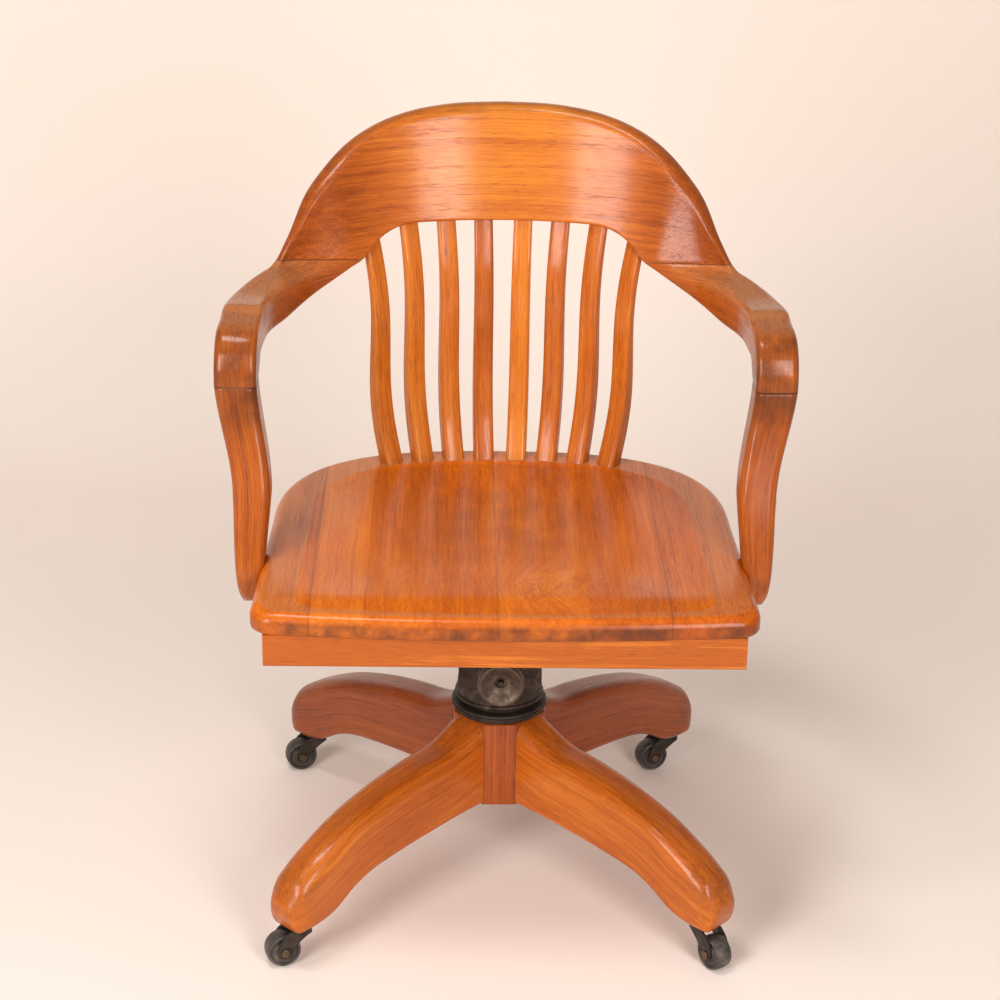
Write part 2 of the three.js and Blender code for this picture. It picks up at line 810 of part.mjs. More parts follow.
function casterSocket() {
  const inner = stemRadius + runGap;
  const flangeTop = footHeight - gap;
  const profile = [
    [inner, flangeTop - socketFlange],
    [socketFlangeRadius, flangeTop - socketFlange],
    [socketFlangeRadius, flangeTop],
    [socketRadius, flangeTop],
    [socketRadius, footHeight + socketDepth],
    [0, footHeight + socketDepth],
    [0, footHeight + stemLength],
    [inner, footHeight + stemLength],
  ];
  return turned([...profile, profile[0]], smallSides);
}

function casterFork() {
  const stemTop = footHeight + stemLength - runGap;
  const stem = turned(
    [
      [0, forkTop - forkHead],
      [forkHeadRadius, forkTop - forkHead],
      [forkHeadRadius, forkTop],
      [stemRadius, forkTop],
      [stemRadius, stemTop],
      [0, stemTop],
    ],
    smallSides,
  );
  const headLow = forkTop - forkHead;
  const root = forkHeadRadius * 0.7;
  const horn = new THREE.Shape();
  horn.moveTo(-root, forkTop - forkHead / 4);
  horn.lineTo(-root, headLow - forkHead / 2);
  const waist = mix(headLow, wheelRadius, 1 / 2);
  horn.quadraticCurveTo(casterTrail / 3, waist, casterTrail - forkEyeRadius, wheelRadius);
  horn.absarc(casterTrail, wheelRadius, forkEyeRadius, Math.PI, 2 * Math.PI, false);
  horn.quadraticCurveTo(casterTrail + forkEyeRadius, headLow - forkHead, root, forkTop - forkHead / 4);
  horn.closePath();
  const horns = sides.map(([, side]) => {
    const [y0, y1] = side < 0 ? [-forkOuter, -forkInner] : [forkInner, forkOuter];
    return sidePlate(horn, y0, y1).rotateZ(-90 * degrees);
  });
  const hole = alongY(rod(axleRadius + gap, -forkOuter - overrun, forkOuter + overrun, smallSides));
  return cut(join(stem, ...horns), hole.translate(casterTrail, 0, wheelRadius));
}

function casterAxle() {
  const half = forkOuter + gap;
  const profile = [
    [0, -half - axleHead],
    [axleHeadRadius, -half - axleHead],
    [axleHeadRadius, -half],
    [axleRadius, -half],
    [axleRadius, half],
    [axleHeadRadius, half],
    [axleHeadRadius, half + axleHead],
    [0, half + axleHead],
  ];
  return alongY(turned(profile, smallSides)).translate(casterTrail, 0, wheelRadius);
}

function casterWheel() {
  const half = wheelWidth / 2;
  const upper = [
    [wheelRadius, half / 2],
    [wheelRadius - wheelRim / 2, half],
    [wheelRadius - wheelRim, half],
    [wheelRadius - wheelRim - wheelDish / 2, half - wheelDish],
    [wheelHubRadius, half - wheelDish],
    [axleRadius + runGap, half],
  ];
  const lower = upper.map(([radius, height]) => [radius, -height]).reverse();
  return alongY(turned([...lower, ...upper, lower[0]], wheelSides)).translate(casterTrail, 0, wheelRadius);
}

function addBase() {
  add("hub_post", hubGeometry(), oak);
  const socketHole = rod(socketRadius + gap, 0, footHeight + socketDepth + gap, smallSides);
  for (const [name, heading] of corners) {
    const leg = new THREE.Group();
    leg.rotation.z = heading * degrees;
    chair.add(leg);
    add("leg_" + name, cut(legGeometry(), socketHole.clone().translate(footReach, 0, 0)), oak, leg);
    const caster = new THREE.Group();
    caster.position.set(footReach * Math.cos(heading * degrees), footReach * Math.sin(heading * degrees), 0);
    caster.rotation.z = casterHeadings[name] * degrees;
    chair.add(caster);
    add("caster_socket_" + name, casterSocket(), blackIron, caster);
    add("caster_fork_" + name, casterFork(), blackIron, caster);
    add("caster_axle_" + name, casterAxle(), brass, caster);
    add("caster_wheel_" + name, casterWheel(), darkRubber, caster);
  }
}

// Swivel: a socket in the hub, the nut that turns in it, and the spindle
const hubTubeRadius = hubBore - gap;
const hubTubeInner = hubTubeRadius - hubTubeWall;
const spindleLow = spindleTop - spindleLength;
const lockPinHeight = bellLow + spindleGrip / 2;

function addSwivel() {
  const plateTop = hubTop + hubPlate;
  const plateRadius = hubHalf - hubPlateInset;
  const socket = [
    [hubTubeInner, plateTop - hubTubeLength],
    [hubTubeRadius, plateTop - hubTubeLength],
    [hubTubeRadius, hubTop + gap],
    [plateRadius, hubTop + gap],
    [plateRadius, plateTop],
    [hubTubeInner, plateTop],
  ];
  add("hub_socket", turned([...socket, socket[0]], roundSides), blackIron);
  const bore = spindleRadius + runGap;
  const sleeve = hubTubeInner - runGap;
  const nut = [
    [bore, nutLow - nutSleeveLength],
    [sleeve, nutLow - nutSleeveLength],
    [sleeve, nutLow],
    [nutRadius - nutRim / 4, nutLow],
    [nutRadius, nutLow + nutRim / 4],
    [nutRadius, nutLow + (nutRim * 3) / 4],
    [nutRadius - nutRim / 4, nutLow + nutRim],
    [nutBossRadius, nutLow + nutRim],
    [nutBossRadius, nutTop],
    [bore, nutTop],
  ];
  add("height_nut", turned([...nut, nut[0]], roundSides), blackIron);
  const point = spindleRadius / 4;
  const spindle = [
    [0, spindleLow],
    [spindleRadius - point, spindleLow],
    [spindleRadius, spindleLow + point],
    [spindleRadius, spindleTop],
    [0, spindleTop],
  ];
  add("spindle_screw", cut(turned(spindle, roundSides), lockPin(gap)), steel);
  add("spindle_lock_pin", lockPin(0), steel);
}

// The pin that holds the spindle in the yoke, or with grow its hole
function lockPin(grow) {
  const half = grow ? bellRadius + overrun : bellRadius - bellRound / 2;
  return alongX(rod(lockPinRadius + grow, -half, half, smallSides)).translate(0, 0, lockPinHeight);
}

// Tilt housing: a bell on the spindle, a forward spring barrel and two cheeks for the tilt pin
function tiltHousing() {
  const shoulder = bellTop - bellShoulder;
  const bell = turned(
    [
      [0, bellLow],
      [bellRadius - bellRound, bellLow],
      [bellRadius - bellRound / 4, bellLow + bellRound / 3],
      [bellRadius, bellLow + bellRound],
      [bellRadius - bellShoulder / 3, shoulder],
      [bellRadius - bellShoulder, bellTop],
      [0, bellTop],
    ],
    roundSides,
  );
  const block = box(-cheekOuter, cheekOuter, -blockDepth, 0, shoulder, barrelHeight + barrelRadius / 2);
  const barrel = forward(rod(barrelRadius, 0, barrelLength, roundSides)).translate(0, 0, barrelHeight);
  const ear = new THREE.Shape();
  ear.moveTo(-cheekHalfDepth, shoulder);
  ear.lineTo(cheekHalfDepth, shoulder);
  ear.lineTo(ironEar, pivotHeight);
  ear.absarc(0, pivotHeight, ironEar, 0, Math.PI, false);
  ear.closePath();
  const inner = cheekOuter - cheekThickness;
  const cheeks = [sidePlate(ear, -cheekOuter, -inner), sidePlate(ear, inner, cheekOuter)];
  const bore = forward(rod(barrelBore, barrelEnd, barrelLength + overrun, roundSides));
  const rearHole = forward(rod(plungerRadius + runGap, -overrun, barrelEnd + overrun, smallSides));
  const spindleHole = rod(spindleRadius + gap, bellLow - overrun, spindleTop + gap, roundSides);
  const pinHole = alongX(rod(pinRadius + gap, -cheekOuter - overrun, cheekOuter + overrun, smallSides));
  return cut(
    join(bell, block, barrel, ...cheeks),
    bore.translate(0, 0, barrelHeight),
    rearHole.translate(0, 0, barrelHeight),
    spindleHole,
    lockPin(gap),
    pinHole.translate(0, 0, pivotHeight),
  );
}

const ironInner = cheekOuter + runGap;
const ironOuter = ironInner + ironThickness;

function tiltPin() {
  const half = ironOuter + runGap;
  const profile = [
    [0, -half - pinHead],
    [pinHeadRadius, -half - pinHead],
    [pinHeadRadius, -half],
    [pinRadius, -half],
    [pinRadius, half],
    [pinHeadRadius, half],
    [pinHeadRadius, half + pinHead],
    [0, half + pinHead],
  ];
  return alongX(turned(profile, smallSides)).translate(0, 0, pivotHeight);
}

// Places along the barrel, as distances forward of the swivel axis
const tailReach = buttonThickness + buttonRoom + gap + leverTip;
const tiltSine = Math.sin(tiltRange * degrees);
const tiltCosine = Math.cos(tiltRange * degrees);
const plungerTravel = (tailReach * (1 - tiltCosine) + leverDrop * tiltSine) / tiltCosine;
const buttonBack = -(plungerTravel + buttonThickness + buttonRoom);
const flangeBack = barrelEnd + gap;
const flangeFront = flangeBack + flangeThickness;
const knobBack = barrelLength + gap;
const cupFront = knobBack - cupPlace;
const cupBack = cupFront - cupThickness;
const dishFloor = knobBack + knobDepth - knobDish;
const rodEnd = flangeFront + plungerTravel + buttonRoom;

const inBarrel = (geometry) => forward(geometry).translate(0, 0, barrelHeight);

function tensionKnob() {
  const bore = rodRadius + gap;
  const front = knobBack + knobDepth;
  const floor = mix(knobBack, dishFloor, 1 / 2);
  const profile = [
    [bore, knobBack],
    [knobRadius - knobEdge, knobBack],
    [knobRadius, knobBack + knobEdge],
    [knobRadius, front - knobEdge],
    [knobRadius - knobEdge, front],
    [knobRadius - knobRim, front],
    [knobHole, dishFloor],
    [knobHole, floor],
    [bore, floor],
  ];
  return inBarrel(turned([...profile, profile[0]], roundSides));
}

function springCup() {
  const [inner, outer] = [rodRadius + runGap, barrelBore - runGap];
  const profile = [
    [inner, cupBack],
    [outer, cupBack],
    [outer, cupFront],
    [inner, cupFront],
  ];
  return inBarrel(turned([...profile, profile[0]], roundSides));
}

function springPlunger() {
  const flange = barrelBore - runGap;
  const profile = [
    [0, buttonBack],
    [buttonRadius, buttonBack],
    [buttonRadius, buttonBack + buttonThickness],
    [plungerRadius, buttonBack + buttonThickness],
    [plungerRadius, flangeBack],
    [flange, flangeBack],
    [flange, flangeFront],
    [0, flangeFront],
  ];
  return inBarrel(turned(profile, roundSides));
}

// Spring: one helical wire whose end turns lie flat against the flange and the cup
function tiltSpring() {
  const from = flangeFront + gap + springWire;
  const to = cupBack - gap - springWire;
  const steps = springTurns * springSteps;
  const flat = 0.75; // turns at each end that climb only by the wire's own thickness
  const climb = springWire * 2.6 * flat;
  const centreAt = (turns) => {
    const inFirst = Math.min(turns, flat);
    const inLast = Math.max(0, turns - (springTurns - flat));
    const inMiddle = turns - inFirst - inLast;
    const middleShare = inMiddle / (springTurns - 2 * flat);
    const height = from + climb * ((inFirst + inLast) / flat) + (to - from - 2 * climb) * middleShare;
    const angle = turns * 360 * degrees;
    return vector(springRadius * Math.cos(angle), springRadius * Math.sin(angle), height);
  };
  const centres = [];
  const rings = [];
  for (let i = 0; i <= steps; i++) {
    const turns = i / springSteps;
    const centre = centreAt(turns);
    const outward = vector(centre.x, centre.y, 0).normalize();
    centres.push(centre);
    const ring = [];
    for (let k = 0; k < springSides; k++) {
      const angle = (360 * k * degrees) / springSides;
      const point = centre.clone().addScaledVector(outward, springWire * Math.cos(angle));
      ring.push(point.setZ(point.z + springWire * Math.sin(angle)));
    }
    rings.push(ring);
  }
  let least = Infinity;
  for (let i = 0; i < centres.length; i++) {
    for (let j = i + springSteps / 2; j < centres.length; j++) {
      least = Math.min(least, centres[i].distanceTo(centres[j]) - 2 * springWire);
    }
  }
  console.log("least gap of the spring to itself, mm: " + least.toFixed(2));
  return inBarrel(loft(rings));
}

// Seat iron: a bar hung on the tilt pin, with a pad at each end under the seat
function seatIron(side) {
  const top = seatUnder - gap;
  const frontEnd = -(seatFront - seatBow - apronSetback - apronThickness - ironSetback);
  const rearEnd = apronRear - ironRoom;
  const bar = new THREE.Shape();
  bar.moveTo(frontEnd, top);
  bar.lineTo(frontEnd, top - ironPad);
  bar.quadraticCurveTo(-ironEar * 3, pivotHeight, -ironEar / 2, pivotHeight - ironEar);
  bar.lineTo(ironEar / 2, pivotHeight - ironEar);
  bar.quadraticCurveTo(ironEar * 3, pivotHeight, rearEnd, top - ironPad);
  bar.lineTo(rearEnd, top);
  bar.lineTo(rearEnd - ironPadLength, top);
  bar.quadraticCurveTo(ironEar, pivotHeight + 2 * ironEar, 0, pivotHeight + ironEar * 1.2);
  bar.quadraticCurveTo(-ironEar, pivotHeight + 2 * ironEar, frontEnd + ironPadLength, top);
  bar.closePath();
  const [x0, x1] = side < 0 ? [-ironOuter, -ironInner] : [ironInner, ironOuter];
  const padOuter = side * (ironInner + ironPadWidth);
  const padX = [Math.min(side * ironInner, padOuter), Math.max(side * ironInner, padOuter)];
  const hole = alongX(rod(pinRadius + runGap, x0 - overrun, x1 + overrun, smallSides));
  return cut(
    join(
      sidePlate(bar, x0, x1),
      box(...padX, frontEnd, frontEnd + ironPadLength, top - ironPad, top),
      box(...padX, rearEnd - ironPadLength, rearEnd, top - ironPad, top),
    ),
    hole.translate(0, 0, pivotHeight),
  );
}

// Tilt lever: a plate under the seat, a hub on the tilt pin and a tail behind the plunger
function tiltLever() {
  const top = seatUnder - gap;
  const half = cheekOuter - cheekThickness - runGap;
  const hub = alongX(rod(leverHubRadius, -half, half, roundSides)).translate(0, 0, pivotHeight);
  const plate = box(-leverPlateHalf, leverPlateHalf, -leverPlateHalf, leverPlateHalf, top - leverPlate, top);
  const web = box(-leverWidth / 2, leverWidth / 2, -leverWeb, leverWeb, pivotHeight, top - leverPlate / 2);
  const tipY = plungerTravel + tailReach;
  const tip = alongX(rod(leverTip, -leverWidth / 2, leverWidth / 2, smallSides));
  const tail = new THREE.Shape();
  tail.moveTo(tipY + leverTip, barrelHeight);
  tail.lineTo(leverHubRadius, pivotHeight);
  tail.lineTo(-leverHubRadius / 3, pivotHeight);
  tail.lineTo(leverHubRadius / 3, pivotHeight - leverHubRadius);
  tail.lineTo(tipY - leverTip, barrelHeight + buttonRadius + gap);
  tail.lineTo(tipY - leverTip, barrelHeight);
  tail.closePath();
  const arm = sidePlate(tail, -leverWidth / 2, leverWidth / 2);
  const hole = alongX(rod(pinRadius + runGap, -half - overrun, half + overrun, smallSides));
  return cut(
    join(hub, plate, web, arm, tip.translate(0, tipY, barrelHeight)),
    hole.translate(0, 0, pivotHeight),
  );
}

function addTilt() {
  add("tilt_housing", tiltHousing(), castIron);
  add("tilt_pin", tiltPin(), steel);
  add("tension_knob", tensionKnob(), castIron);
  add("tension_rod", inBarrel(rod(rodRadius, rodEnd, dishFloor + rodTip, smallSides)), steel);
  add("spring_cup", springCup(), steel);
  add("spring_plunger", springPlunger(), steel);
  add("tilt_spring", tiltSpring(), steel);
  for (const [name, side] of sides) {
    add("seat_iron_" + name, seatIron(side), castIron);
  }
  add("tilt_lever", tiltLever(), castIron);
}

addBase();
addSwivel();
addTilt();
addSeatAndBack();

export default chair;
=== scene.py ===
# A bankers swivel chair: polished oak on an iron swivel and tilt mechanism with four casters.
# Sizes are in millimetres and become metres where a mesh is made. The chair faces -Y.
import math

import bmesh
import bpy
import numpy as np
from mathutils import Matrix, Vector


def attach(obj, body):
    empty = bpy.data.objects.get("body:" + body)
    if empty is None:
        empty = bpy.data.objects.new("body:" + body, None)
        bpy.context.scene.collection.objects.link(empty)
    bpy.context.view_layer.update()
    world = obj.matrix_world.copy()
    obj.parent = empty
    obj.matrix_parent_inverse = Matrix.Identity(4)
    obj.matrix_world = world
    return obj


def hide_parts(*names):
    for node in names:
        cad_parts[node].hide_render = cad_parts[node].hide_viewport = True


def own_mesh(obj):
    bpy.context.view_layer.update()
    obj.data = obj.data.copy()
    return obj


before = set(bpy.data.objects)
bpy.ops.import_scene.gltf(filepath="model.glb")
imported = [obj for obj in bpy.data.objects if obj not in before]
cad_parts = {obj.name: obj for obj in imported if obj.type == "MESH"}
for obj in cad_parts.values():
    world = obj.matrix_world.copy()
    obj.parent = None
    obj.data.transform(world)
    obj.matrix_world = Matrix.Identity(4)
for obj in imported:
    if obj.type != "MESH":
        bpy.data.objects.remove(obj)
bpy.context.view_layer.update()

MM = 0.001
GAP = 0.3
RUN_GAP = 0.4
SHARP_ANGLE = 38
CORNER_POINTS = 7  # round each corner of a section
SIDE_SHARES = (0.06, 0.3, 0.5, 0.7, 0.94)  # points along each side of a section

# Seat board
SEAT_TOP = 433
SEAT_UNDER = 404
SEAT_HALF_WIDTH = 263.7
SEAT_SIDE_DRAW = 7.1
SEAT_POST_HALF_WIDTH = 260.15
SEAT_FRONT = 262
SEAT_REAR = 217.5
SEAT_CORNER_RADIUS = 24
SEAT_BOW = 11
SEAT_NOSING = 13
SEAT_DISH = 10
SEAT_POMMEL = 3.5
SEAT_ROUNDNESS = 2.75
DISH_SIDE_MARGIN = 44.5
DISH_REAR_MARGIN = 44.5
DISH_FRONT_MARGIN = 16
SEAT_ROLL = 4
SEAT_ROLL_RUN = 58
SEAT_LOWER_EDGE = 6
BOARD_SEAMS = [-202, -147, -8, 89, 171]  # across the seat

# Apron
APRON_LOW = 366.7
APRON_TOP = 403.7
APRON_THICKNESS = 22
APRON_HALF_WIDTH = 250
APRON_REAR_HALF_WIDTH = 205
APRON_FRONT = 246
APRON_REAR = 110
APRON_EDGE = 5

# Horseshoe of crest rail and arms
BOW_HALF_WIDTH = 281.5
BOW_DEPTH = 226
BOW_CENTRE = -18
CREST_THICKNESS = 27
CREST_TOP = 847.5
CREST_LOW = 719
CREST_LEAN = 0.233
CREST_TOP_RADIUS = 12
CREST_LOW_RADIUS = 4
JOINT_HEIGHT = 687
CREST_END_ANGLE = 62
CREST_FOOT_ANGLE = 35.2
CREST_SHOULDER_ANGLE = 20
CREST_SPAN_ANGLE = 66
CREST_TOP_SHARES = [
    (0, 1), (0.2, 0.985), (0.33, 0.946), (0.45, 0.876), (0.56, 0.772),
    (0.66, 0.636), (0.76, 0.469), (0.86, 0.237), (0.94, 0.1), (0.98, 0.045), (1, 0.03),
]
CREST_END_THICKNESS = 9
SEAM_BACK = 147  # where the seam between crest and arms passes the height of the joint
SEAM_SLOPE = 0.257
SEAM_SPAN = 140  # the seam is further than this from the middle
LEDGE_RISE = 4
LEDGE_ROUNDING = 9
EDGE_DROP = 6
TOP_SAG = 5

# Angles round the horseshoe, from the middle of the back, where crest melts into arm
CARVING_START = 28
CARVING_FULL = 38
EDGE_ROUNDED = 48
WIDENING_START = 48.6
EDGE_DROPPED = 52
BAR_START = 56
RECESS_FULL = 58
THINNED = 60
BAR_FULL = 70

# Arms and their posts
ARM_TOP = 680
ARM_LOW = 643
ARM_RISE = 9
ARM_SHOULDER = ARM_TOP + 0.7 * ARM_RISE
ARM_WIDTH = 44.5
ARM_EDGE = 9
ARM_FLAT_ANGLE = 72
ARM_START_ANGLE = 30
ARM_MIDDLE = 60  # behind it the seam to the crest shows, before it the seam to the post
ELBOW_FRONT = 101
ELBOW_HALF_SPAN = 285.5
ELBOW_JOINT = 631
ELBOW_SEAM = 620.5
ELBOW_NECK = 626
ELBOW_RUN = 41
ELBOW_FILLET = 14
POST_TOP_WIDTH = 44.9
POST_TOP_DEPTH = 46
POST_WAIST_WIDTH = 39.8
POST_WAIST_OUT = 9
POST_WAIST_HEIGHT = 503.1
POST_LOW = 385
POST_FOOT_FRONT = 140
POST_FOOT_DEPTH = 44
POST_FOOT_WIDTH = 26.3
POST_FOOT_ROUND = 39
POST_HOUSING = 2
POST_EDGE = 9

# Slats
SLAT_HALF_COUNT = 4
SLAT_FOOT_SPAN = 125.5
SLAT_HEAD_SPAN = 150.7
SLAT_INNER_SHARE = 0.151
SLAT_FOOT_BACK = 186.2
SLAT_FOOT_CURVE = 19
SLAT_WIDTH = 23.8
SLAT_HEAD_WIDTH = 21.2
SLAT_FOOT_THICKNESS = 22
SLAT_HEAD_THICKNESS = 10
SLAT_BEND = 8.4
SLAT_TURN = 40
SLAT_TENON = 11

# Hub post and legs
BASE_TURN = 0.85
HUB_LOW = 97
HUB_TOP = 200
HUB_HALF = 53
HUB_BORE = 23
LEG_WIDTH = 49
HUB_CORNER = HUB_HALF - LEG_WIDTH / math.sqrt(2)
LEG_EDGE = 13
LEG_FOOT_EDGE = 19
LEG_LOW_EDGE = 7
FOOT_REACH = 312.5
FOOT_OVERHANG = 29.5
FOOT_HEIGHT = 49.5
FOOT_ROUND_SHARE = 0.132
FOOT_TIP_SHARE = 0.3  # width of the tip
LEG_TOP_SHARES = [
    (0, 0.99), (0.06, 0.935), (0.126, 0.878), (0.295, 0.833), (0.516, 0.752),
    (0.765, 0.591), (0.905, 0.444), (0.965, 0.351), (1, 0.21),
]
LEG_LOW_SHARES = [
    (0, 1), (0.133, 0.985), (0.288, 0.922), (0.467, 0.826), (0.63, 0.657),
    (0.709, 0.453), (0.79, 0.125), (0.86, 0.03), (0.93, 0), (0.978, 0.06), (1, 0.45),
]
CORNERS = {
    "front_left": 225 + BASE_TURN,
    "front_right": 315 + BASE_TURN,
    "rear_left": 135 + BASE_TURN,
    "rear_right": 45 + BASE_TURN,
}

# Casters
WHEEL_RADIUS = 19.5
WHEEL_WIDTH = 20
TREAD_RADIUS = 19.49
TREAD_HALF_WIDTH = 3.5
WHEEL_SHOULDER_RADIUS = 18.2
WHEEL_RIM_RADIUS = 15.9
WHEEL_WELL_RADII = (14.2, 9.5)
WHEEL_WELL = 3
WHEEL_BOSS_RADIUS = 8
CASTER_TRAIL = 20.5
AXLE_RADIUS = 3
AXLE_HEAD_RADIUS = 4.9
AXLE_HEAD = 1.5
FORK_THICKNESS = 2.6
FORK_HEAD = 4
FORK_HEAD_RADIUS = 13.6
FORK_EYE_RADIUS = 8
STEM_RADIUS = 4.2
STEM_TOP = 83.1
FORK_TOP = 46.4
SOCKET_HOLE_RADIUS = 7.9
SOCKET_HOLE_TOP = 89.8
CASTER_HEADINGS = {"front_left": 200, "front_right": 303, "rear_left": 196, "rear_right": 201}

# Iron mechanism
NUT_LOW = 204.3
NUT_TOP = 214.3
NUT_RADIUS = 54.7
NUT_RIM = 7
NUT_BOSS_RADIUS = 43
NUT_SLEEVE = 66
NUT_SLEEVE_RADIUS = 19.3
SPINDLE_BORE = 12.9
SPINDLE_TOP = 237.6
BELL_LOW = 214.6
BELL_TOP = 244.6
BELL_RADIUS = 51
CHEEK_OUTER = 47
CHEEK_INNER = 34
CHEEK_HALF_DEPTH = 24
EAR_RADIUS = 17
BLOCK_DEPTH = 38
BARREL_HEIGHT = 266.6
BARREL_RADIUS = 27
BARREL_BORE = 20
BARREL_LENGTH = 74
BARREL_END = 5
PLUNGER_HOLE_RADIUS = 7.4
SPINDLE_HOLE_RADIUS = 12.8
PIVOT_HEIGHT = 328.6
PIN_HOLE_RADIUS = 7.3
LOCK_HOLE_RADIUS = 3.3
LOCK_HOLE_RISE = 11.5
KNOB_BACK = 74.3
KNOB_RADIUS = 26
KNOB_DEPTH = 13
KNOB_DISH = 8
KNOB_RIM = 4
KNOB_HOLE = 6
ROD_RADIUS = 3.8
ROD_END = 35.3
ROD_TIP = 83.3
SPRING_RADIUS = 14
SPRING_WIRE = 1.7
SPRING_TURNS = 5.5
SPRING_FROM = 11.3
SPRING_TO = 56.3
SPRING_PARTING = 43.6
PLUNGER_TRAVEL = 21.1
CUP_TRAVEL = 6.1

# Small screws
PAD_SCREW_SPAN = 67
PAD_SCREW_LINES = (-170, -148, 68, 90)
PAD_THICKNESS = 7.5
PLATE_SCREW_SPAN = 26
RAIL_SCREWS = (-200, -55, 55, 200)
RAIL_SCREW_LINE = -235
POST_SCREW_STEP = 8.5

# Camera
CAMERA_LENS = 86.3
CAMERA_PLACE = (-0.0029, -2.4705, 1.471)
CAMERA_ORBIT = -1.25
CAMERA_PITCH = 22.36
CAMERA_ROLL = 1.0


def mix(start, end, share):
    return start + (end - start) * share


def portion(value, start, end):
    return min(1.0, max(0.0, (value - start) / (end - start)))


def ease(share):
    return share * share * (3 - 2 * share)


def sin_cos(angle):
    return math.sin(math.radians(angle)), math.cos(math.radians(angle))


def through(shares):
    """A smooth curve through shares of place and value."""
    places = np.array([p for p, _ in shares], float)
    values = np.array([v for _, v in shares], float)
    slopes = np.gradient(values, places)

    def value(place):
        i = int(np.clip(np.searchsorted(places, place) - 1, 0, len(places) - 2))
        span = places[i + 1] - places[i]
        t = (place - places[i]) / span
        first = (2 * t**3 - 3 * t**2 + 1) * values[i] + (t**3 - 2 * t**2 + t) * span * slopes[i]
        last = (3 * t**2 - 2 * t**3) * values[i + 1] + (t**3 - t**2) * span * slopes[i + 1]
        return first + last

    return value


# Meshes
def new_piece(name, mesh):
    piece = bpy.data.objects.new(name, mesh)
    bpy.context.scene.collection.objects.link(piece)
    return piece


def mesh_of(name, points, faces, edges=()):
    """A mesh over points in millimetres."""
    mesh = bpy.data.meshes.new(name)
    mesh.from_pydata([tuple(c * MM for c in p) for p in points], edges, faces)
    return mesh


def smooth(mesh):
    mesh.polygons.foreach_set("use_smooth", [True] * len(mesh.polygons))
    mesh.set_sharp_from_angle(angle=math.radians(SHARP_ANGLE))
    mesh.update()


def face_out(mesh):
    work = bmesh.new()
    work.from_mesh(mesh)
    bmesh.ops.remove_doubles(work, verts=work.verts, dist=1e-7)
    bmesh.ops.recalc_face_normals(work, faces=work.faces)
    work.to_mesh(mesh)
    work.free()


def set_attribute(mesh, name, values, kind="FLOAT"):
    attribute = mesh.attributes.new(name, kind, "POINT")
    key = "vector" if kind == "FLOAT_VECTOR" else "value"
    attribute.data.foreach_set(key, np.asarray(values, np.float32).ravel())


def lofted(name, rings, grain, marks):
    """A closed piece over equal rings. grain runs along, across and through the fibres."""
    rings = np.asarray(rings, float)
    grain = np.asarray(grain, float)
    count, around = rings.shape[:2]
    ends = [rings[0].mean(0), rings[-1].mean(0)]
    points = np.vstack([rings.reshape(-1, 3), ends])
    grains = np.vstack([grain.reshape(-1, 3), grain[0].mean(0), grain[-1].mean(0)])
    faces = []
    for i in range(count - 1):
        for j in range(around):
            k = (j + 1) % around
            a, b = i * around, (i + 1) * around
            faces.append((a + j, a + k, b + k, b + j))
    first, last = count * around, count * around + 1
    for j in range(around):
        k = (j + 1) % around
        faces.append((first, k, j))
        faces.append((last, (count - 1) * around + j, (count - 1) * around + k))
    mesh = mesh_of(name, points, faces)
    set_attribute(mesh, "grain", grains * MM, "FLOAT_VECTOR")
    for label, values in marks.items():
        values = np.asarray(values, float).reshape(-1)
        ends = [values[:around].mean(), values[-around:].mean()]
        set_attribute(mesh, label, np.concatenate([values, ends]))
    face_out(mesh)
    smooth(mesh)
    return new_piece(name, mesh)


def plank_ring(low, high, side, width, low_edge, high_edge, crown):
    """One ring of a plank that stands from low to high, and its places across and up."""
    low, high, side = (np.asarray(p, float) for p in (low, high, side))
    height = np.linalg.norm(high - low)
    up = (high - low) / height
    most = 0.49 * min(width, height)
    local = []
    corners = [(1, False, -90), (1, True, 0), (-1, True, 90), (-1, False, 180)]
    for sign, is_high, turn in corners:
        radius = min(high_edge if is_high else low_edge, most)
        across = sign * (width / 2 - radius)
        rise = height - radius if is_high else radius
        for k in range(CORNER_POINTS):
            s, c = sin_cos(turn + 90 * k / (CORNER_POINTS - 1))
            local.append((across + radius * c, rise + radius * s))
    full = []
    for i, here in enumerate(local):
        full.append(here)
        if i % CORNER_POINTS == CORNER_POINTS - 1:
            following = local[(i + 1) % len(local)]
            for share in SIDE_SHARES:
                full.append(tuple(mix(a, b, share) for a, b in zip(here, following)))
    local = np.array(full)
    a = local[:, 0] / (width / 2)
    r = local[:, 1] / (height / 2) - 1
    local[:, 0] += crown * a * (1 - r**2)
    local[:, 1] += crown * r * (1 - a**2)
    points = low + np.outer(local[:, 0], side) + np.outer(local[:, 1], up)
    return points, np.column_stack([local[:, 0], local[:, 1] - height / 2])


def evened(rings, start, passes):
    """Rings whose points run smoothly from one ring to the next, beyond the first few."""
    rings = np.array(rings)
    for _ in range(passes):
        rings[start:-1] = (rings[start - 1 : -2] + 2 * rings[start:-1] + rings[start + 1 :]) / 4
    return rings


def grained(centres, places, shift):
    """Places along, across and through the fibres. Each shift gives another part of the tree."""
    grain, along, last = [], 0.0, centres[0]
    for centre, place in zip(centres, places):
        along += np.linalg.norm(centre - last)
        last = centre
        grain.append(np.column_stack([np.full(len(place), along), place]))
    return np.array(grain) + [shift * 7, shift, shift * 3]


def marked(rings, marks):
    """The value of each mark at every point of the rings."""
    return {label: [[mark(p) for p in ring] for ring in rings] for label, mark in marks.items()}


def plank(name, stations, shift, marks=None, passes=0):
    centres = [(np.asarray(one["low"], float) + np.asarray(one["high"], float)) / 2 for one in stations]
    rings, places = zip(*(plank_ring(**one) for one in stations))
    rings = evened(rings, 1, passes)
    return lofted(name, rings, grained(centres, places, shift), marked(rings, marks or {}))


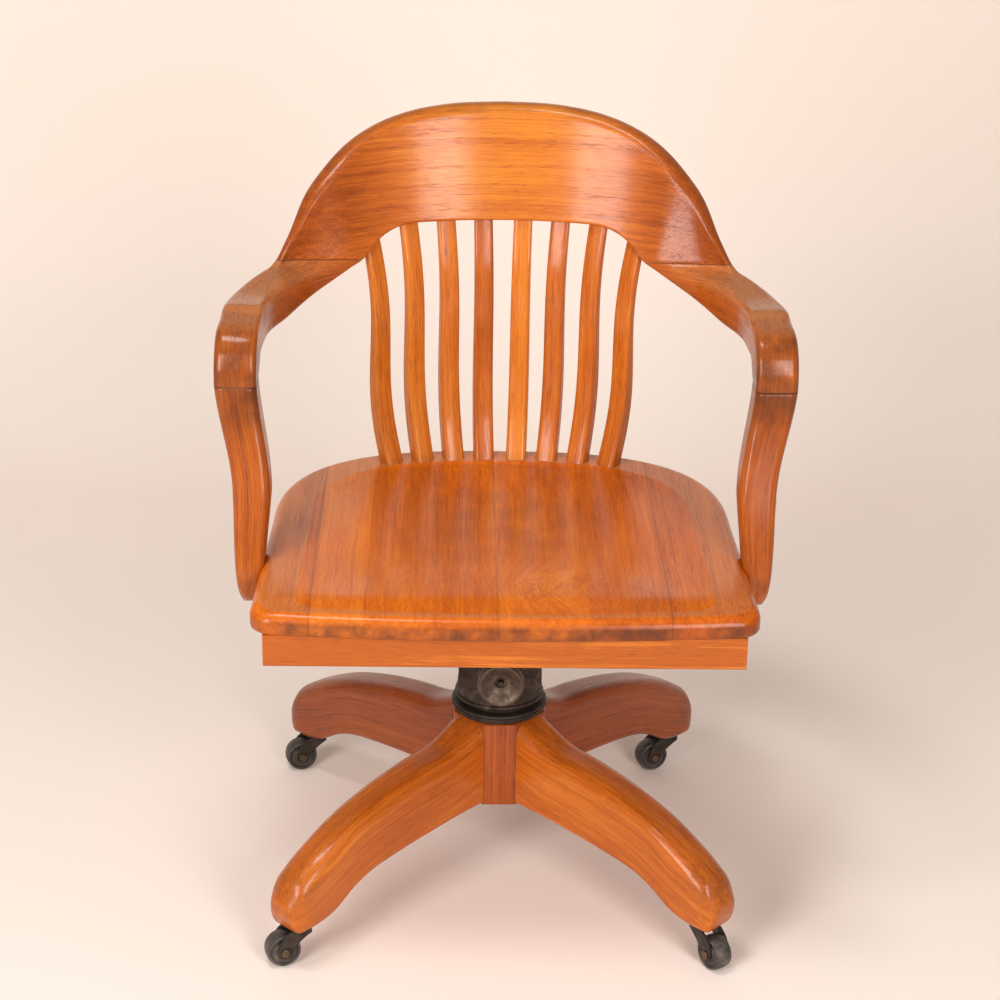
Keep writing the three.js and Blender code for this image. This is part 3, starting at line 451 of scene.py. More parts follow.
def curved(first, middle, last, t):
    return (1 - t) ** 2 * first + 2 * t * (1 - t) * middle + t**2 * last


def filleted(corners):
    """A profile whose corners, each (radius, height, rounding), are rounded."""
    steps = 5
    profile = []
    for i, (x, y, rounding) in enumerate(corners):
        here = np.array([x, y], float)
        if not rounding or i in (0, len(corners) - 1):
            profile.append(here)
            continue
        before = np.array(corners[i - 1][:2], float) - here
        after = np.array(corners[i + 1][:2], float) - here
        first = here + before / np.linalg.norm(before) * rounding
        last = here + after / np.linalg.norm(after) * rounding
        profile += [curved(first, here, last, k / steps) for k in range(steps + 1)]
    return profile


def turned_mesh(name, corners, facets=64, closed=False):
    """A mesh turned about Z. An open profile starts and ends on the axis, a closed one runs round."""
    profile = filleted([*corners, corners[0]])[:-1] if closed else filleted(corners)
    points, faces, rows = [], [], []
    for radius, height in profile:
        if radius < 1e-6:
            rows.append([len(points)] * facets)
            points.append((0, 0, height))
        else:
            rows.append(list(range(len(points), len(points) + facets)))
            for k in range(facets):
                s, c = sin_cos(360 * k / facets)
                points.append((radius * c, radius * s, height))
    pairs = list(zip(rows, rows[1:] + rows[:1]))
    for lower, upper in pairs if closed else pairs[:-1]:
        for k in range(facets):
            n = (k + 1) % facets
            face = []
            for index in (lower[k], lower[n], upper[n], upper[k]):
                if index not in face:
                    face.append(index)
            if len(face) > 2:
                faces.append(face)
    mesh = mesh_of(name, points, faces)
    face_out(mesh)
    return mesh


def drill(name, radius, low, high, facets=64):
    """A round bar along Z, which cuts a hole."""
    return turned_mesh(name, [(0, low, 0), (radius, low, 0), (radius, high, 0), (0, high, 0)], facets)


def placed(mesh, turn_axis=None, angle=0, move=(0, 0, 0)):
    """Turns a mesh about an axis through the origin, then moves it."""
    matrix = Matrix.Translation([c * MM for c in move])
    if turn_axis:
        matrix = matrix @ Matrix.Rotation(math.radians(angle), 4, turn_axis)
    mesh.transform(matrix)
    return mesh


def along_barrel(mesh):
    """Lays a mesh made along Z forward along -Y at the height of the barrel."""
    return placed(mesh, "X", 90, (0, 0, BARREL_HEIGHT))


def eased_copy(name, node, width):
    """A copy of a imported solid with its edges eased."""
    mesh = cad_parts[node].data.copy()
    mesh.name = name
    mesh.materials.clear()
    face_out(mesh)
    return eased(new_piece(name, mesh), width)


def eased(piece, width, segments=3):
    bevel = piece.modifiers.new("eased edges", "BEVEL")
    bevel.width = width * MM
    bevel.segments = segments
    bevel.limit_method = "ANGLE"
    bevel.angle_limit = math.radians(SHARP_ANGLE)
    bevel.use_clamp_overlap = True
    return applied(piece)


def applied(piece):
    """Turns a piece with its modifiers into a plain mesh."""
    graph = bpy.context.evaluated_depsgraph_get()
    mesh = bpy.data.meshes.new_from_object(
        piece.evaluated_get(graph), preserve_all_data_layers=True, depsgraph=graph
    )
    piece.modifiers.clear()
    piece.data = mesh
    smooth(mesh)
    return piece


def combined(piece, others, operation):
    """Fuses others into a piece, or cuts them from it."""
    for mesh in others:
        tool = new_piece("tool", mesh)
        step = piece.modifiers.new("step", "BOOLEAN")
        step.operation = operation
        step.solver = "EXACT"
        step.object = tool
        applied(piece)
        bpy.data.objects.remove(tool)
    return piece


def box_mesh(name, x, y, z):
    work = bmesh.new()
    bmesh.ops.create_cube(work, size=1)
    for vertex in work.verts:
        vertex.co = [mix(low, high, vertex.co[i] + 0.5) * MM for i, (low, high) in enumerate((x, y, z))]
    mesh = bpy.data.meshes.new(name)
    work.to_mesh(mesh)
    work.free()
    return mesh


def block_mesh(name, points):
    """A block between two faces; the points run round the one and then round the other."""
    count = len(points) // 2
    faces = [list(range(count)), list(range(count, 2 * count))]
    faces += [(i, (i + 1) % count, count + (i + 1) % count, count + i) for i in range(count)]
    mesh = mesh_of(name, points, faces)
    face_out(mesh)
    return mesh


def plate_mesh(name, outline, x0, x1):
    """A plate whose outline is drawn in Y and Z, from x0 to x1."""
    return block_mesh(name, [(x, y, z) for x in (x0, x1) for y, z in outline])


def arc_points(centre, radius, start, end, steps):
    angles = [mix(start, end, k / steps) for k in range(steps + 1)]
    return [(centre[0] + radius * sin_cos(a)[1], centre[1] + radius * sin_cos(a)[0]) for a in angles]


def bend_points(start, middle, end):
    steps = 10
    return [tuple(curved(*abc, k / steps) for abc in zip(start, middle, end)) for k in range(1, steps + 1)]


def finish_piece(piece, material, body, slot, *nodes):
    """Gives a piece its material, its body and the solids whose place it takes; the slot is not used."""
    piece.data.materials.clear()
    piece.data.materials.append(material)
    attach(piece, body)
    if nodes:
        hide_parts(*nodes)


def finish_smooth(name, mesh, *looks):
    smooth(mesh)
    finish_piece(new_piece(name, mesh), *looks)


# Materials
class Nodes:
    """The nodes of a material or a shape."""

    def __init__(self, tree):
        self.tree = tree

    def add(self, kind, inputs=None, **settings):
        node = self.tree.nodes.new(kind)
        for key, value in settings.items():
            setattr(node, key, value)
        for key, value in (inputs or {}).items():
            self.feed(node.inputs[key], value)
        return node

    def feed(self, socket, value):
        if isinstance(value, bpy.types.NodeSocket):
            self.tree.links.new(value, socket)
        else:
            socket.default_value = value

    def math(self, operation, a, b=0.0, clamp=False):
        node = self.add("ShaderNodeMath", {0: a, 1: b}, operation=operation, use_clamp=clamp)
        return node.outputs[0]

    def scaled(self, value, factor, offset):
        inputs = {0: value, 1: factor, 2: offset}
        return self.add("ShaderNodeMath", inputs, operation="MULTIPLY_ADD").outputs[0]

    def vector(self, operation, a, b):
        node = self.add("ShaderNodeVectorMath", operation=operation)
        self.feed(node.inputs[0], a)
        self.feed(node.inputs[3 if operation == "SCALE" else 1], b)
        return node.outputs[0]

    def noise(self, vector, scale, detail=2.0, roughness=0.5):
        stretched = self.add("ShaderNodeMapping", {"Vector": vector, "Scale": scale}).outputs[0]
        inputs = {"Vector": stretched, "Scale": 1.0, "Detail": detail, "Roughness": roughness}
        return self.add("ShaderNodeTexNoise", inputs).outputs["Fac"]

    def band(self, value, low, high, to_low=0.0, to_high=1.0):
        node = self.add(
            "ShaderNodeMapRange",
            {"Value": value, "From Min": low, "From Max": high, "To Min": to_low, "To Max": to_high},
            interpolation_type="SMOOTHSTEP",
        )
        return node.outputs["Result"]

    def blend(self, share, first, second, mode="MIX"):
        node = self.add("ShaderNodeMix", data_type="RGBA", blend_type=mode)
        self.feed(node.inputs[0], share)
        self.feed(node.inputs[6], first)
        self.feed(node.inputs[7], second)
        return node.outputs[2]

    def ramp(self, value, stops, interpolation="LINEAR"):
        node = self.add("ShaderNodeValToRGB", {"Fac": value})
        node.color_ramp.interpolation = interpolation
        elements = node.color_ramp.elements
        while len(elements) < len(stops):
            elements.new(0.5)
        for element, (place, colour) in zip(elements, stops):
            element.position = place
        for element, (place, colour) in zip(elements, stops):
            element.color = (*colour, 1)
        return node.outputs["Color"]

    def mark(self, name):
        return self.add("ShaderNodeAttribute", attribute_name=name).outputs["Fac"]


def new_material(name, roughness, coat=0.0, coat_roughness=0.1, metallic=0.0):
    material = bpy.data.materials.new(name)
    material.use_nodes = True
    nodes = Nodes(material.node_tree)
    shader = material.node_tree.nodes["Principled BSDF"]
    shader.inputs["Roughness"].default_value = roughness
    shader.inputs["Metallic"].default_value = metallic
    shader.inputs["Coat Weight"].default_value = coat
    shader.inputs["Coat Roughness"].default_value = coat_roughness
    return material, nodes, shader


def grey(value):
    return (value, value, value)


def oak(name, light, middle, deep, boards=False, lines=0.5):
    """Polished oak: growth bands, straight fibres, short dark pores and gentle changes of tone."""
    material, nodes, shader = new_material(name, 0.4, coat=0.5, coat_roughness=0.14)
    shader.inputs["Specular IOR Level"].default_value = 0.12
    grain = nodes.add("ShaderNodeAttribute", attribute_name="grain").outputs["Vector"]
    place = nodes.add("ShaderNodeTexCoord").outputs["Object"]
    tone = nodes.mark("tone")
    if boards:
        across = nodes.add("ShaderNodeSeparateXYZ", {"Vector": place}).outputs["X"]
        span = nodes.add(
            "ShaderNodeMapRange",
            {"Value": across, "From Min": -SEAT_HALF_WIDTH * MM, "From Max": SEAT_HALF_WIDTH * MM},
        ).outputs["Result"]
        seams = [(x + SEAT_HALF_WIDTH) / (2 * SEAT_HALF_WIDTH) for x in BOARD_SEAMS]
        tones = [0.42, 0.68, 0.46, 0.52, 0.4, 0.34]
        board = nodes.ramp(span, [(p, grey(v)) for p, v in zip([0, *seams], tones)], "CONSTANT")
        width = 0.0011
        stops = [(0, grey(1))]
        for seam in seams:
            stops += [(seam - width, grey(1)), (seam, grey(0.5)), (seam + width, grey(1))]
        seam_line = nodes.ramp(span, stops)
        grain = nodes.vector("ADD", grain, nodes.vector("MULTIPLY", board, (3.1, 5.3, 1.7)))
        tone = board
        knot, swirl = knot_figure(nodes, place)
        grain = nodes.vector("ADD", grain, knot)
    wander = nodes.noise(grain, (3, 14, 14), 2)
    drift = nodes.math("MULTIPLY", nodes.math("SUBTRACT", wander, 0.5), 0.008)
    lift = nodes.add("ShaderNodeCombineXYZ", {"Y": drift, "Z": drift}).outputs[0]
    fibre = nodes.vector("ADD", grain, lift)
    growth = nodes.noise(fibre, (1.6, 130, 130), 3, 0.6)
    streaks = nodes.noise(fibre, (5, 430, 430), 4, 0.7)
    fine = nodes.noise(fibre, (22, 1000, 1000), 3, 0.7)
    mottling = nodes.noise(grain, (5, 13, 13), 3, 0.5)
    share = nodes.scaled(nodes.math("SUBTRACT", mottling, 0.5), 0.8, 0.5)
    for part, weight in ((growth, lines * 1.2), (streaks, 0.75), (fine, 0.9), (tone, 1.0)):
        share = nodes.math("ADD", share, nodes.math("MULTIPLY", nodes.math("SUBTRACT", part, 0.5), weight))
    if boards:
        share = nodes.math("ADD", share, swirl)
    colour = nodes.ramp(share, [(0.08, deep), (0.5, middle), (0.92, light)])
    dashes = nodes.noise(fibre, (60, 900, 900), 2, 0.5)
    pore = nodes.math("MULTIPLY", nodes.band(dashes, 0.56, 0.66), nodes.band(growth, 0.3, 0.65, 1.0, 0.3))
    pore_colour = (*[c * 0.3 for c in deep], 1)
    colour = nodes.blend(nodes.math("MULTIPLY", pore, 0.2 if boards else 0.42), colour, pore_colour)
    # Painted shade, with some real dirt: where the mark is set, the wood darkens in patches towards this
    # near-black brown.
    patchiness = nodes.band(nodes.noise(place, (28, 28, 28), 3, 0.6), 0.3, 0.7, 0.35, 1.0)
    shade_and_soil_share = nodes.math("MULTIPLY", nodes.mark("shade_and_soil"), patchiness, clamp=True)
    colour = nodes.blend(shade_and_soil_share, colour, (0.05, 0.014, 0.005, 1))
    # Painted sheen, with real wear: where the mark is set, the wood lightens along the fibres towards this
    # pale pinkish brown.
    wear_and_sheen = nodes.mark("wear_and_sheen")
    rubbed = nodes.math("MULTIPLY", wear_and_sheen, nodes.band(fine, 0.35, 0.6, 0.3, 1.0), clamp=True)
    colour = nodes.blend(rubbed, colour, (0.5, 0.23, 0.1, 1))
    from_joint = nodes.math("ABSOLUTE", nodes.math("SUBTRACT", nodes.mark("joint"), 1.0))
    line = nodes.band(from_joint, 0.0003, 0.001, 1.0, 0.0)
    colour = nodes.blend(nodes.math("MULTIPLY", line, 0.6), colour, (0.05, 0.016, 0.006, 1))
    if boards:
        colour = nodes.blend(0.85, colour, seam_line, "MULTIPLY")
    nodes.feed(shader.inputs["Base Color"], colour)
    rough = nodes.scaled(pore, 0.2, 0.38)
    nodes.feed(shader.inputs["Roughness"], nodes.math("ADD", rough, nodes.math("MULTIPLY", wear_and_sheen, 0.15)))
    relief = nodes.math("ADD", nodes.math("MULTIPLY", pore, -1.0), nodes.math("MULTIPLY", fine, 0.8))
    bump = nodes.add("ShaderNodeBump", {"Strength": 0.4, "Distance": 0.0002, "Height": relief})
    waves = nodes.noise(place, (9, 9, 9), 2)
    hollow = nodes.add("ShaderNodeBump", {"Strength": 0.35, "Distance": 0.001, "Height": waves})
    nodes.feed(bump.inputs["Normal"], hollow.outputs[0])
    nodes.feed(shader.inputs["Normal"], bump.outputs[0])
    nodes.feed(shader.inputs["Coat Normal"], bump.outputs[0])
    return material


def knot_figure(nodes, place):
    """The swirl in the seat: how far it bends the fibres, and its lighter and darker whorls."""
    near = nodes.add(
        "ShaderNodeMapping", {"Vector": place, "Location": (-0.9, 3.1, 0), "Scale": (22, 17, 0)}
    ).outputs[0]
    reach = nodes.add("ShaderNodeVectorMath", {0: near}, operation="LENGTH").outputs["Value"]
    core = nodes.band(reach, 0.0, 1.6, 1.0, 0.0)
    bend = nodes.math("MULTIPLY", core, 0.03)
    rings = nodes.scaled(nodes.noise(place, (34, 26, 26), 3, 0.6), 1.6, reach)
    whorl = nodes.add("ShaderNodeCombineXYZ", {"X": rings}).outputs[0]
    light = nodes.noise(whorl, (5.5, 1, 1), 3, 0.7)
    swirl = nodes.math("MULTIPLY", nodes.math("SUBTRACT", light, 0.45), nodes.math("MULTIPLY", core, 2.6))
    return nodes.add("ShaderNodeCombineXYZ", {"Y": bend}).outputs[0], swirl


def metal(name, bright, dark, roughness, metallic, wear=None):
    """Old metal with mottled tarnish, fine pits and rubbed patches."""
    material, nodes, shader = new_material(name, roughness, metallic=metallic)
    place = nodes.add("ShaderNodeTexCoord").outputs["Object"]
    cloud = nodes.noise(place, (90, 90, 90), 5, 0.6)
    colour = nodes.ramp(cloud, [(0.3, dark), (0.72, bright)])
    pits = nodes.noise(place, (1400, 1400, 1400), 2, 0.5)
    if wear:
        rubbed = nodes.band(nodes.noise(place, (55, 55, 55), 4, 0.65), 0.52, 0.7)
        colour = nodes.blend(nodes.math("MULTIPLY", rubbed, 0.6), colour, (*wear, 1))
    nodes.feed(shader.inputs["Base Color"], colour)
    roughened = nodes.band(cloud, 0.3, 0.75, roughness + 0.15, roughness - 0.1)
    nodes.feed(shader.inputs["Roughness"], roughened)
    bump = nodes.add("ShaderNodeBump", {"Strength": 0.4, "Distance": 0.0003, "Height": pits})
    nodes.feed(shader.inputs["Normal"], bump.outputs[0])
    return material


golden_oak = oak("golden oak", (0.7, 0.22, 0.022), (0.5, 0.115, 0.01), (0.28, 0.052, 0.004))
seat_oak = oak("seat oak", (0.84, 0.225, 0.01), (0.64, 0.13, 0.004), (0.36, 0.055, 0.002), boards=True)
red_oak = oak("red brown oak", (0.42, 0.1, 0.012), (0.29, 0.055, 0.006), (0.15, 0.025, 0.003))
pale_oak = oak("pale oak", (0.88, 0.33, 0.03), (0.72, 0.22, 0.015), (0.42, 0.09, 0.006), lines=1.2)
cast_iron = metal("cast iron", (0.055, 0.035, 0.025), (0.02, 0.012, 0.008), 0.42, 0.6, (0.13, 0.09, 0.065))
black_iron = metal("black iron", (0.06, 0.045, 0.035), (0.02, 0.015, 0.012), 0.45, 0.5)
bright_steel = metal("bright steel", (0.5, 0.45, 0.4), (0.22, 0.18, 0.15), 0.32, 0.95)
dull_brass = metal("dull brass", (0.2, 0.13, 0.075), (0.08, 0.05, 0.03), 0.42, 0.9)
knob_iron = metal("knob iron", (0.14, 0.095, 0.07), (0.05, 0.032, 0.022), 0.36, 0.7, (0.25, 0.18, 0.14))
dark_steel = metal("dark steel", (0.1, 0.075, 0.06), (0.03, 0.022, 0.018), 0.35, 0.9)
hard_tread = metal("hard tread", (0.075, 0.06, 0.05), (0.03, 0.024, 0.02), 0.4, 0.0, (0.16, 0.13, 0.11))


# Seat
def seat_outline(side, rear, front):
    """The seat's outline, drawn in at the sides, the rear and the front."""
    steps = 192
    half_width, depth = SEAT_HALF_WIDTH - SEAT_SIDE_DRAW - side, SEAT_REAR - rear
    power = 2 / SEAT_ROUNDNESS
    outline = []
    for i in range(steps // 2 + 1):
        s, c = sin_cos(180 * i / (steps // 2))
        across = math.copysign(abs(c) ** power, c)
        outline.append((half_width * across, depth * abs(s) ** power))
    radius = SEAT_CORNER_RADIUS
    corner_x = SEAT_HALF_WIDTH - side - radius
    straight = -(SEAT_FRONT - SEAT_BOW - front)
    quarter = steps // 8
    corner = []
    for i in range(quarter + 1):
        s, c = sin_cos(180 + 90 * i / quarter)
        corner.append((-corner_x + radius * c, straight + radius + radius * s))
    start, first = outline[-1], corner[0]
    outline += [(mix(start[0], first[0], k / 12), mix(start[1], first[1], k / 12)) for k in range(1, 12)]
    outline += corner
    for i in range(1, 2 * quarter):
        x = mix(-corner_x, corner_x, i / (2 * quarter))
        outline.append((x, straight - SEAT_BOW * (1 - (x / corner_x) ** 2)))
    outline += [(-x, y) for x, y in reversed(corner)]
    outline += [(mix(-first[0], -start[0], k / 12), mix(first[1], start[1], k / 12)) for k in range(1, 12)]
    return outline


def seat_height(x, y, share):
    """Height of the top, where share is 1 at the crease round the scooped part."""
    opened = ease(portion(-y, SEAT_FRONT / 3, SEAT_FRONT))
    hollow = SEAT_DISH * (1 - share**2.4) * (1 - opened)
    ridge = SEAT_POMMEL * math.exp(-((x / (SEAT_HALF_WIDTH / 8)) ** 2)) * (1 - share)
    roll = SEAT_ROLL * ease(portion(-y, SEAT_FRONT - SEAT_ROLL_RUN, SEAT_FRONT - SEAT_NOSING))
    return SEAT_TOP - hollow - roll + ridge * portion(-y, 0, SEAT_FRONT) * (1 - opened)


def make_seat():
    edge = seat_outline(0, 0, 0)
    rim = seat_outline(SEAT_NOSING, SEAT_NOSING, SEAT_NOSING)
    crease = seat_outline(DISH_SIDE_MARGIN, DISH_REAR_MARGIN, DISH_FRONT_MARGIN)
    rings = []
    for share in [*(k / 36 for k in range(1, 36)), 0.985, 0.995, 1]:
        rings.append([(x * share, y * share, seat_height(x * share, y * share, share)) for x, y in crease])
    for share in (0.01, 0.03, 0.1, 0.25, 0.5, 0.75, 0.92):
        flat = [(mix(a, c, share), mix(b, d, share)) for (a, b), (c, d) in zip(crease, rim)]
        rings.append([(x, y, seat_height(x, y, 1)) for x, y in flat])
    for k in range(13):
        s, c = sin_cos(mix(90, 0, k / 12))
        ring = []
        for (x, y), (ex, ey) in zip(rim, edge):
            height = seat_height(x, y, 1)
            drop = min(SEAT_NOSING, 0.62 * (height - SEAT_UNDER))
            ring.append((mix(x, ex, c), mix(y, ey, c), height - drop + drop * s))
        rings.append(ring)
    inner = seat_outline(SEAT_LOWER_EDGE, SEAT_LOWER_EDGE, SEAT_LOWER_EDGE)
    for k in range(9):
        s, c = sin_cos(mix(0, -90, k / 8))
        height = SEAT_UNDER + SEAT_LOWER_EDGE * (1 + s)
        rings.append([(mix(x, ex, c), mix(y, ey, c), height) for (x, y), (ex, ey) in zip(inner, edge)])
    for share in (0.8, 0.5, 0.2):
        rings.append([(x * share, y * share, SEAT_UNDER) for x, y in inner])
    rings = np.array(rings)
    grain = rings[:, :, [1, 0, 2]]
    # Painted shade and a painted dark reflection on the lower half of the edge all round, with some dirt.
    shade_and_soil = 0.85 * np.clip((SEAT_TOP - SEAT_ROLL - 3 - rings[:, :, 2]) / 8, 0, 1)
    scoop, nosing, underside = slice(0, 34), slice(37, 48), slice(-3, None)
    # Painted shadow of the back slats, darkening the rear of the scoop.
    shade_and_soil[scoop] += 0.3 * np.clip(rings[scoop, :, 1] / 170, 0, 1) ** 1.5
    # Darker on the underside.
    shade_and_soil[underside] = 0.3
    rim_sheen_and_wear = np.zeros(rings.shape[:2])
    # Painted sheen on the flat border round the scoop, with some wear.
    rim_sheen_and_wear[nosing] = 0.45
    seat = lofted("seat_top", rings, grain, {"shade_and_soil": shade_and_soil, "wear_and_sheen": rim_sheen_and_wear})
    finish_piece(seat, seat_oak, "seat", "oak", "seat_board")


def make_apron():
    half = APRON_THICKNESS / 2
    front = -APRON_FRONT + half
    rear = APRON_REAR + APRON_THICKNESS

    def rail(name, start, end, material, slot, shift):
        start, end = np.array([*start, 0.0]), np.array([*end, 0.0])
        along = (end - start) / np.linalg.norm(end - start)
        stations = []
        for k in range(25):
            place = mix(start, end, k / 24)
            stations.append(
                dict(
                    low=place + [0, 0, APRON_LOW],
                    high=place + [0, 0, APRON_TOP],
                    side=(-along[1], along[0], 0),
                    width=APRON_THICKNESS,
                    low_edge=APRON_EDGE,
                    high_edge=1,
                    crown=0.15,
                )
            )
        piece = plank("rail_" + name, stations, shift)
        finish_piece(piece, material, "seat", slot, "apron_" + name)

    rail("front", (-APRON_HALF_WIDTH, front), (APRON_HALF_WIDTH, front), pale_oak, "pale_oak", 11)
    clear = half + GAP
    inner = APRON_REAR_HALF_WIDTH - half
    for name, side in (("left", -1), ("right", 1)):
        start = (side * (APRON_HALF_WIDTH - half - clear * 0.17), front + clear)
        rail(name, start, (side * inner, rear), golden_oak, "oak", 20 + side)
    reach = inner - clear - 3
    rail("rear", (-reach, APRON_REAR + half), (reach, APRON_REAR + half), golden_oak, "oak", 31)


# Back and arms
def bow_place(angle):
    s, c = sin_cos(angle)
    outward = np.array([s / BOW_HALF_WIDTH, c / BOW_DEPTH, 0])
    return np.array([BOW_HALF_WIDTH * s, BOW_CENTRE + BOW_DEPTH * c, 0]), outward / np.linalg.norm(outward)


def crest_place(angle, height):
    middle, outward = bow_place(angle)
    middle = middle + outward * CREST_LEAN * (height - JOINT_HEIGHT)
    middle[2] = height
    return middle


def crest_low_edge(angle):
    share = portion(abs(angle), CREST_SHOULDER_ANGLE, CREST_FOOT_ANGLE)
    return mix(CREST_LOW, JOINT_HEIGHT + GAP, share**2.4)


crest_top = through(CREST_TOP_SHARES)


def section(origin, side, up, corners):
    """A closed ring over rounded corners, each (across, rise, rounding), and its places across and up."""
    origin, side, up = (np.asarray(v, float) for v in (origin, side, up))
    bends = []
    for i, (x, y, rounding) in enumerate(corners):
        here = np.array([x, y], float)
        before = np.array(corners[i - 1][:2], float) - here
        after = np.array(corners[(i + 1) % len(corners)][:2], float) - here
        most = 0.49 * min(np.linalg.norm(before), np.linalg.norm(after))
        first = here + before / np.linalg.norm(before) * min(rounding, most)
        last = here + after / np.linalg.norm(after) * min(rounding, most)
        bends.append((first, here, last))
    local = []
    for i, (first, here, last) in enumerate(bends):
        local += [curved(first, here, last, k / (CORNER_POINTS - 1)) for k in range(CORNER_POINTS)]
        following = bends[(i + 1) % len(bends)][0]
        local += [mix(last, following, share) for share in SIDE_SHARES]
    local = np.array(local)
    return origin + np.outer(local[:, 0], side) + np.outer(local[:, 1], up), local


def bow_section(angle):
    """The carved section of the horseshoe: a tall leaning board that melts into a broad flat arm."""
    middle, outward = bow_place(angle)
    board = CREST_THICKNESS / 2
    bar = mix(CREST_THICKNESS, ARM_WIDTH, ease(portion(angle, WIDENING_START, ARM_FLAT_ANGLE))) / 2
    to_arm = ease(portion(angle, CARVING_START, CARVING_FULL))
    to_bar = ease(portion(angle, BAR_START, BAR_FULL))

    def leaning(height):
        return CREST_LEAN * max(0, height - JOINT_HEIGHT)

    level = portion(angle, CREST_FOOT_ANGLE, ARM_FLAT_ANGLE)
    low = crest_low_edge(angle) if level == 0 else mix(JOINT_HEIGHT + GAP, ARM_LOW, 1 - (1 - level) ** 1.9)
    free = portion(angle, CREST_END_ANGLE, 90)
    top = mix(JOINT_HEIGHT, CREST_TOP, crest_top(min(1, angle / CREST_END_ANGLE)))
    top = mix(top, ARM_SHOULDER, ease(free)) - TOP_SAG * math.sin(math.pi * free)
    thickness = mix(CREST_THICKNESS, CREST_END_THICKNESS, ease(portion(angle, CARVING_FULL, THINNED)))
    recess = 0.85 * CREST_THICKNESS * ease(portion(angle, CARVING_FULL, RECESS_FULL))
    outer = max(board + leaning(top), bar)
    edge = mix(JOINT_HEIGHT, JOINT_HEIGHT - EDGE_DROP, ease(portion(angle, CARVING_FULL, EDGE_DROPPED)))
    edge = mix(max(edge, low + 3), top - 0.5, to_bar)
    edge = mix(mix(low, top, 0.25), edge, to_arm)
    ledge = mix(max(JOINT_HEIGHT + LEDGE_RISE, edge + LEDGE_RISE), top, to_bar)
    ledge = mix(mix(low, top, 0.5), min(ledge, top), to_arm)
    corners = [
        (leaning(low) + bar, low, CREST_LOW_RADIUS),
        (outer, top, mix(CREST_TOP_RADIUS, ARM_EDGE + 2, to_bar)),
        (mix(outer - thickness, bar / 5, to_bar), top, mix(CREST_TOP_RADIUS, 3, to_bar)),
        (mix(leaning(ledge) - board + recess, -0.4 * bar, to_bar), ledge, LEDGE_ROUNDING),
        (leaning(edge) - bar, edge, mix(3, ARM_EDGE + 1, portion(angle, CARVING_FULL, EDGE_ROUNDED))),
        (leaning(low) - bar, low, CREST_LOW_RADIUS),
    ]
    return section(middle, outward, (0, 0, 1), corners)


def bar_section(low, high, width, low_edge, high_edge, crown=0.2):
    """A section of the straight run or the elbow, from low to high, with a crowned upper face."""
    low, high = np.asarray(low, float), np.asarray(high, float)
    up = (high - low) / np.linalg.norm(high - low)
    top = ARM_LOW + np.linalg.norm(high - low)
    half = width / 2
    corners = [
        (half, ARM_LOW, low_edge), (half, top - crown, high_edge), (half / 5, top, half / 3),
        (-0.4 * half, top, half / 3), (-half, top - crown, high_edge), (-half, ARM_LOW, low_edge),
    ]
    return section(low - up * ARM_LOW, (1, 0, 0), up, corners)


def carved(name, sections, side, shift, marks, above):
    """A piece over sections, kept on one side of the seam between the crest and the arms."""
    centres = [points.mean(0) for points, _ in sections]
    rings = [points * [side, 1, 1] for points, _ in sections]
    grain = grained(centres, [local for _, local in sections], shift)
    piece = lofted(name, rings, grain, marked(rings, marks))
    work = bmesh.new()
    work.from_mesh(piece.data)
    height = JOINT_HEIGHT + (GAP if above else -GAP) / 2
    cut = bmesh.ops.bisect_plane(
        work,
        geom=[*work.verts, *work.edges, *work.faces],
        plane_co=(0, SEAM_BACK * MM, height * MM),
        plane_no=(0, SEAM_SLOPE, 1),
        clear_inner=above,
        clear_outer=not above,
    )
    edges = [part for part in cut["geom_cut"] if isinstance(part, bmesh.types.BMEdge)]
    bmesh.ops.holes_fill(work, edges=edges, sides=0)
    work.to_mesh(piece.data)
    work.free()
    face_out(piece.data)
    smooth(piece.data)
    return piece


def from_seam(p):
    """Height above the seam between the crest and the arms."""
    return p[2] - JOINT_HEIGHT + SEAM_SLOPE * (p[1] - SEAM_BACK)


def make_crest():
    sections = []
    for i in range(141):
        angle = mix(-CREST_SPAN_ANGLE, CREST_SPAN_ANGLE, i / 140)
        points, local = bow_section(abs(angle))
        sections.append((points * [math.copysign(1, angle), 1, 1], local))
    marks = {
        "joint": lambda p: 1 + from_seam(p) * MM if abs(p[0]) > SEAM_SPAN else 0.0,
        # The middle of the crest is lighter and its ends darker: partly painted light falling off, partly the
        # board's own tone.
        "tone": lambda p: mix(0.78, 0.12, ease(portion(abs(p[0]), 20, 235))),
        # Painted shade along the crest's upper edge.
        "shade_and_soil": lambda p: 0.35 * portion(p[2], CREST_TOP - 18, CREST_TOP - 2),
    }
    piece = carved("crest_shell", sections, 1, 2, marks, above=True)
    finish_piece(piece, golden_oak, "seat", "oak", "crest_rail")


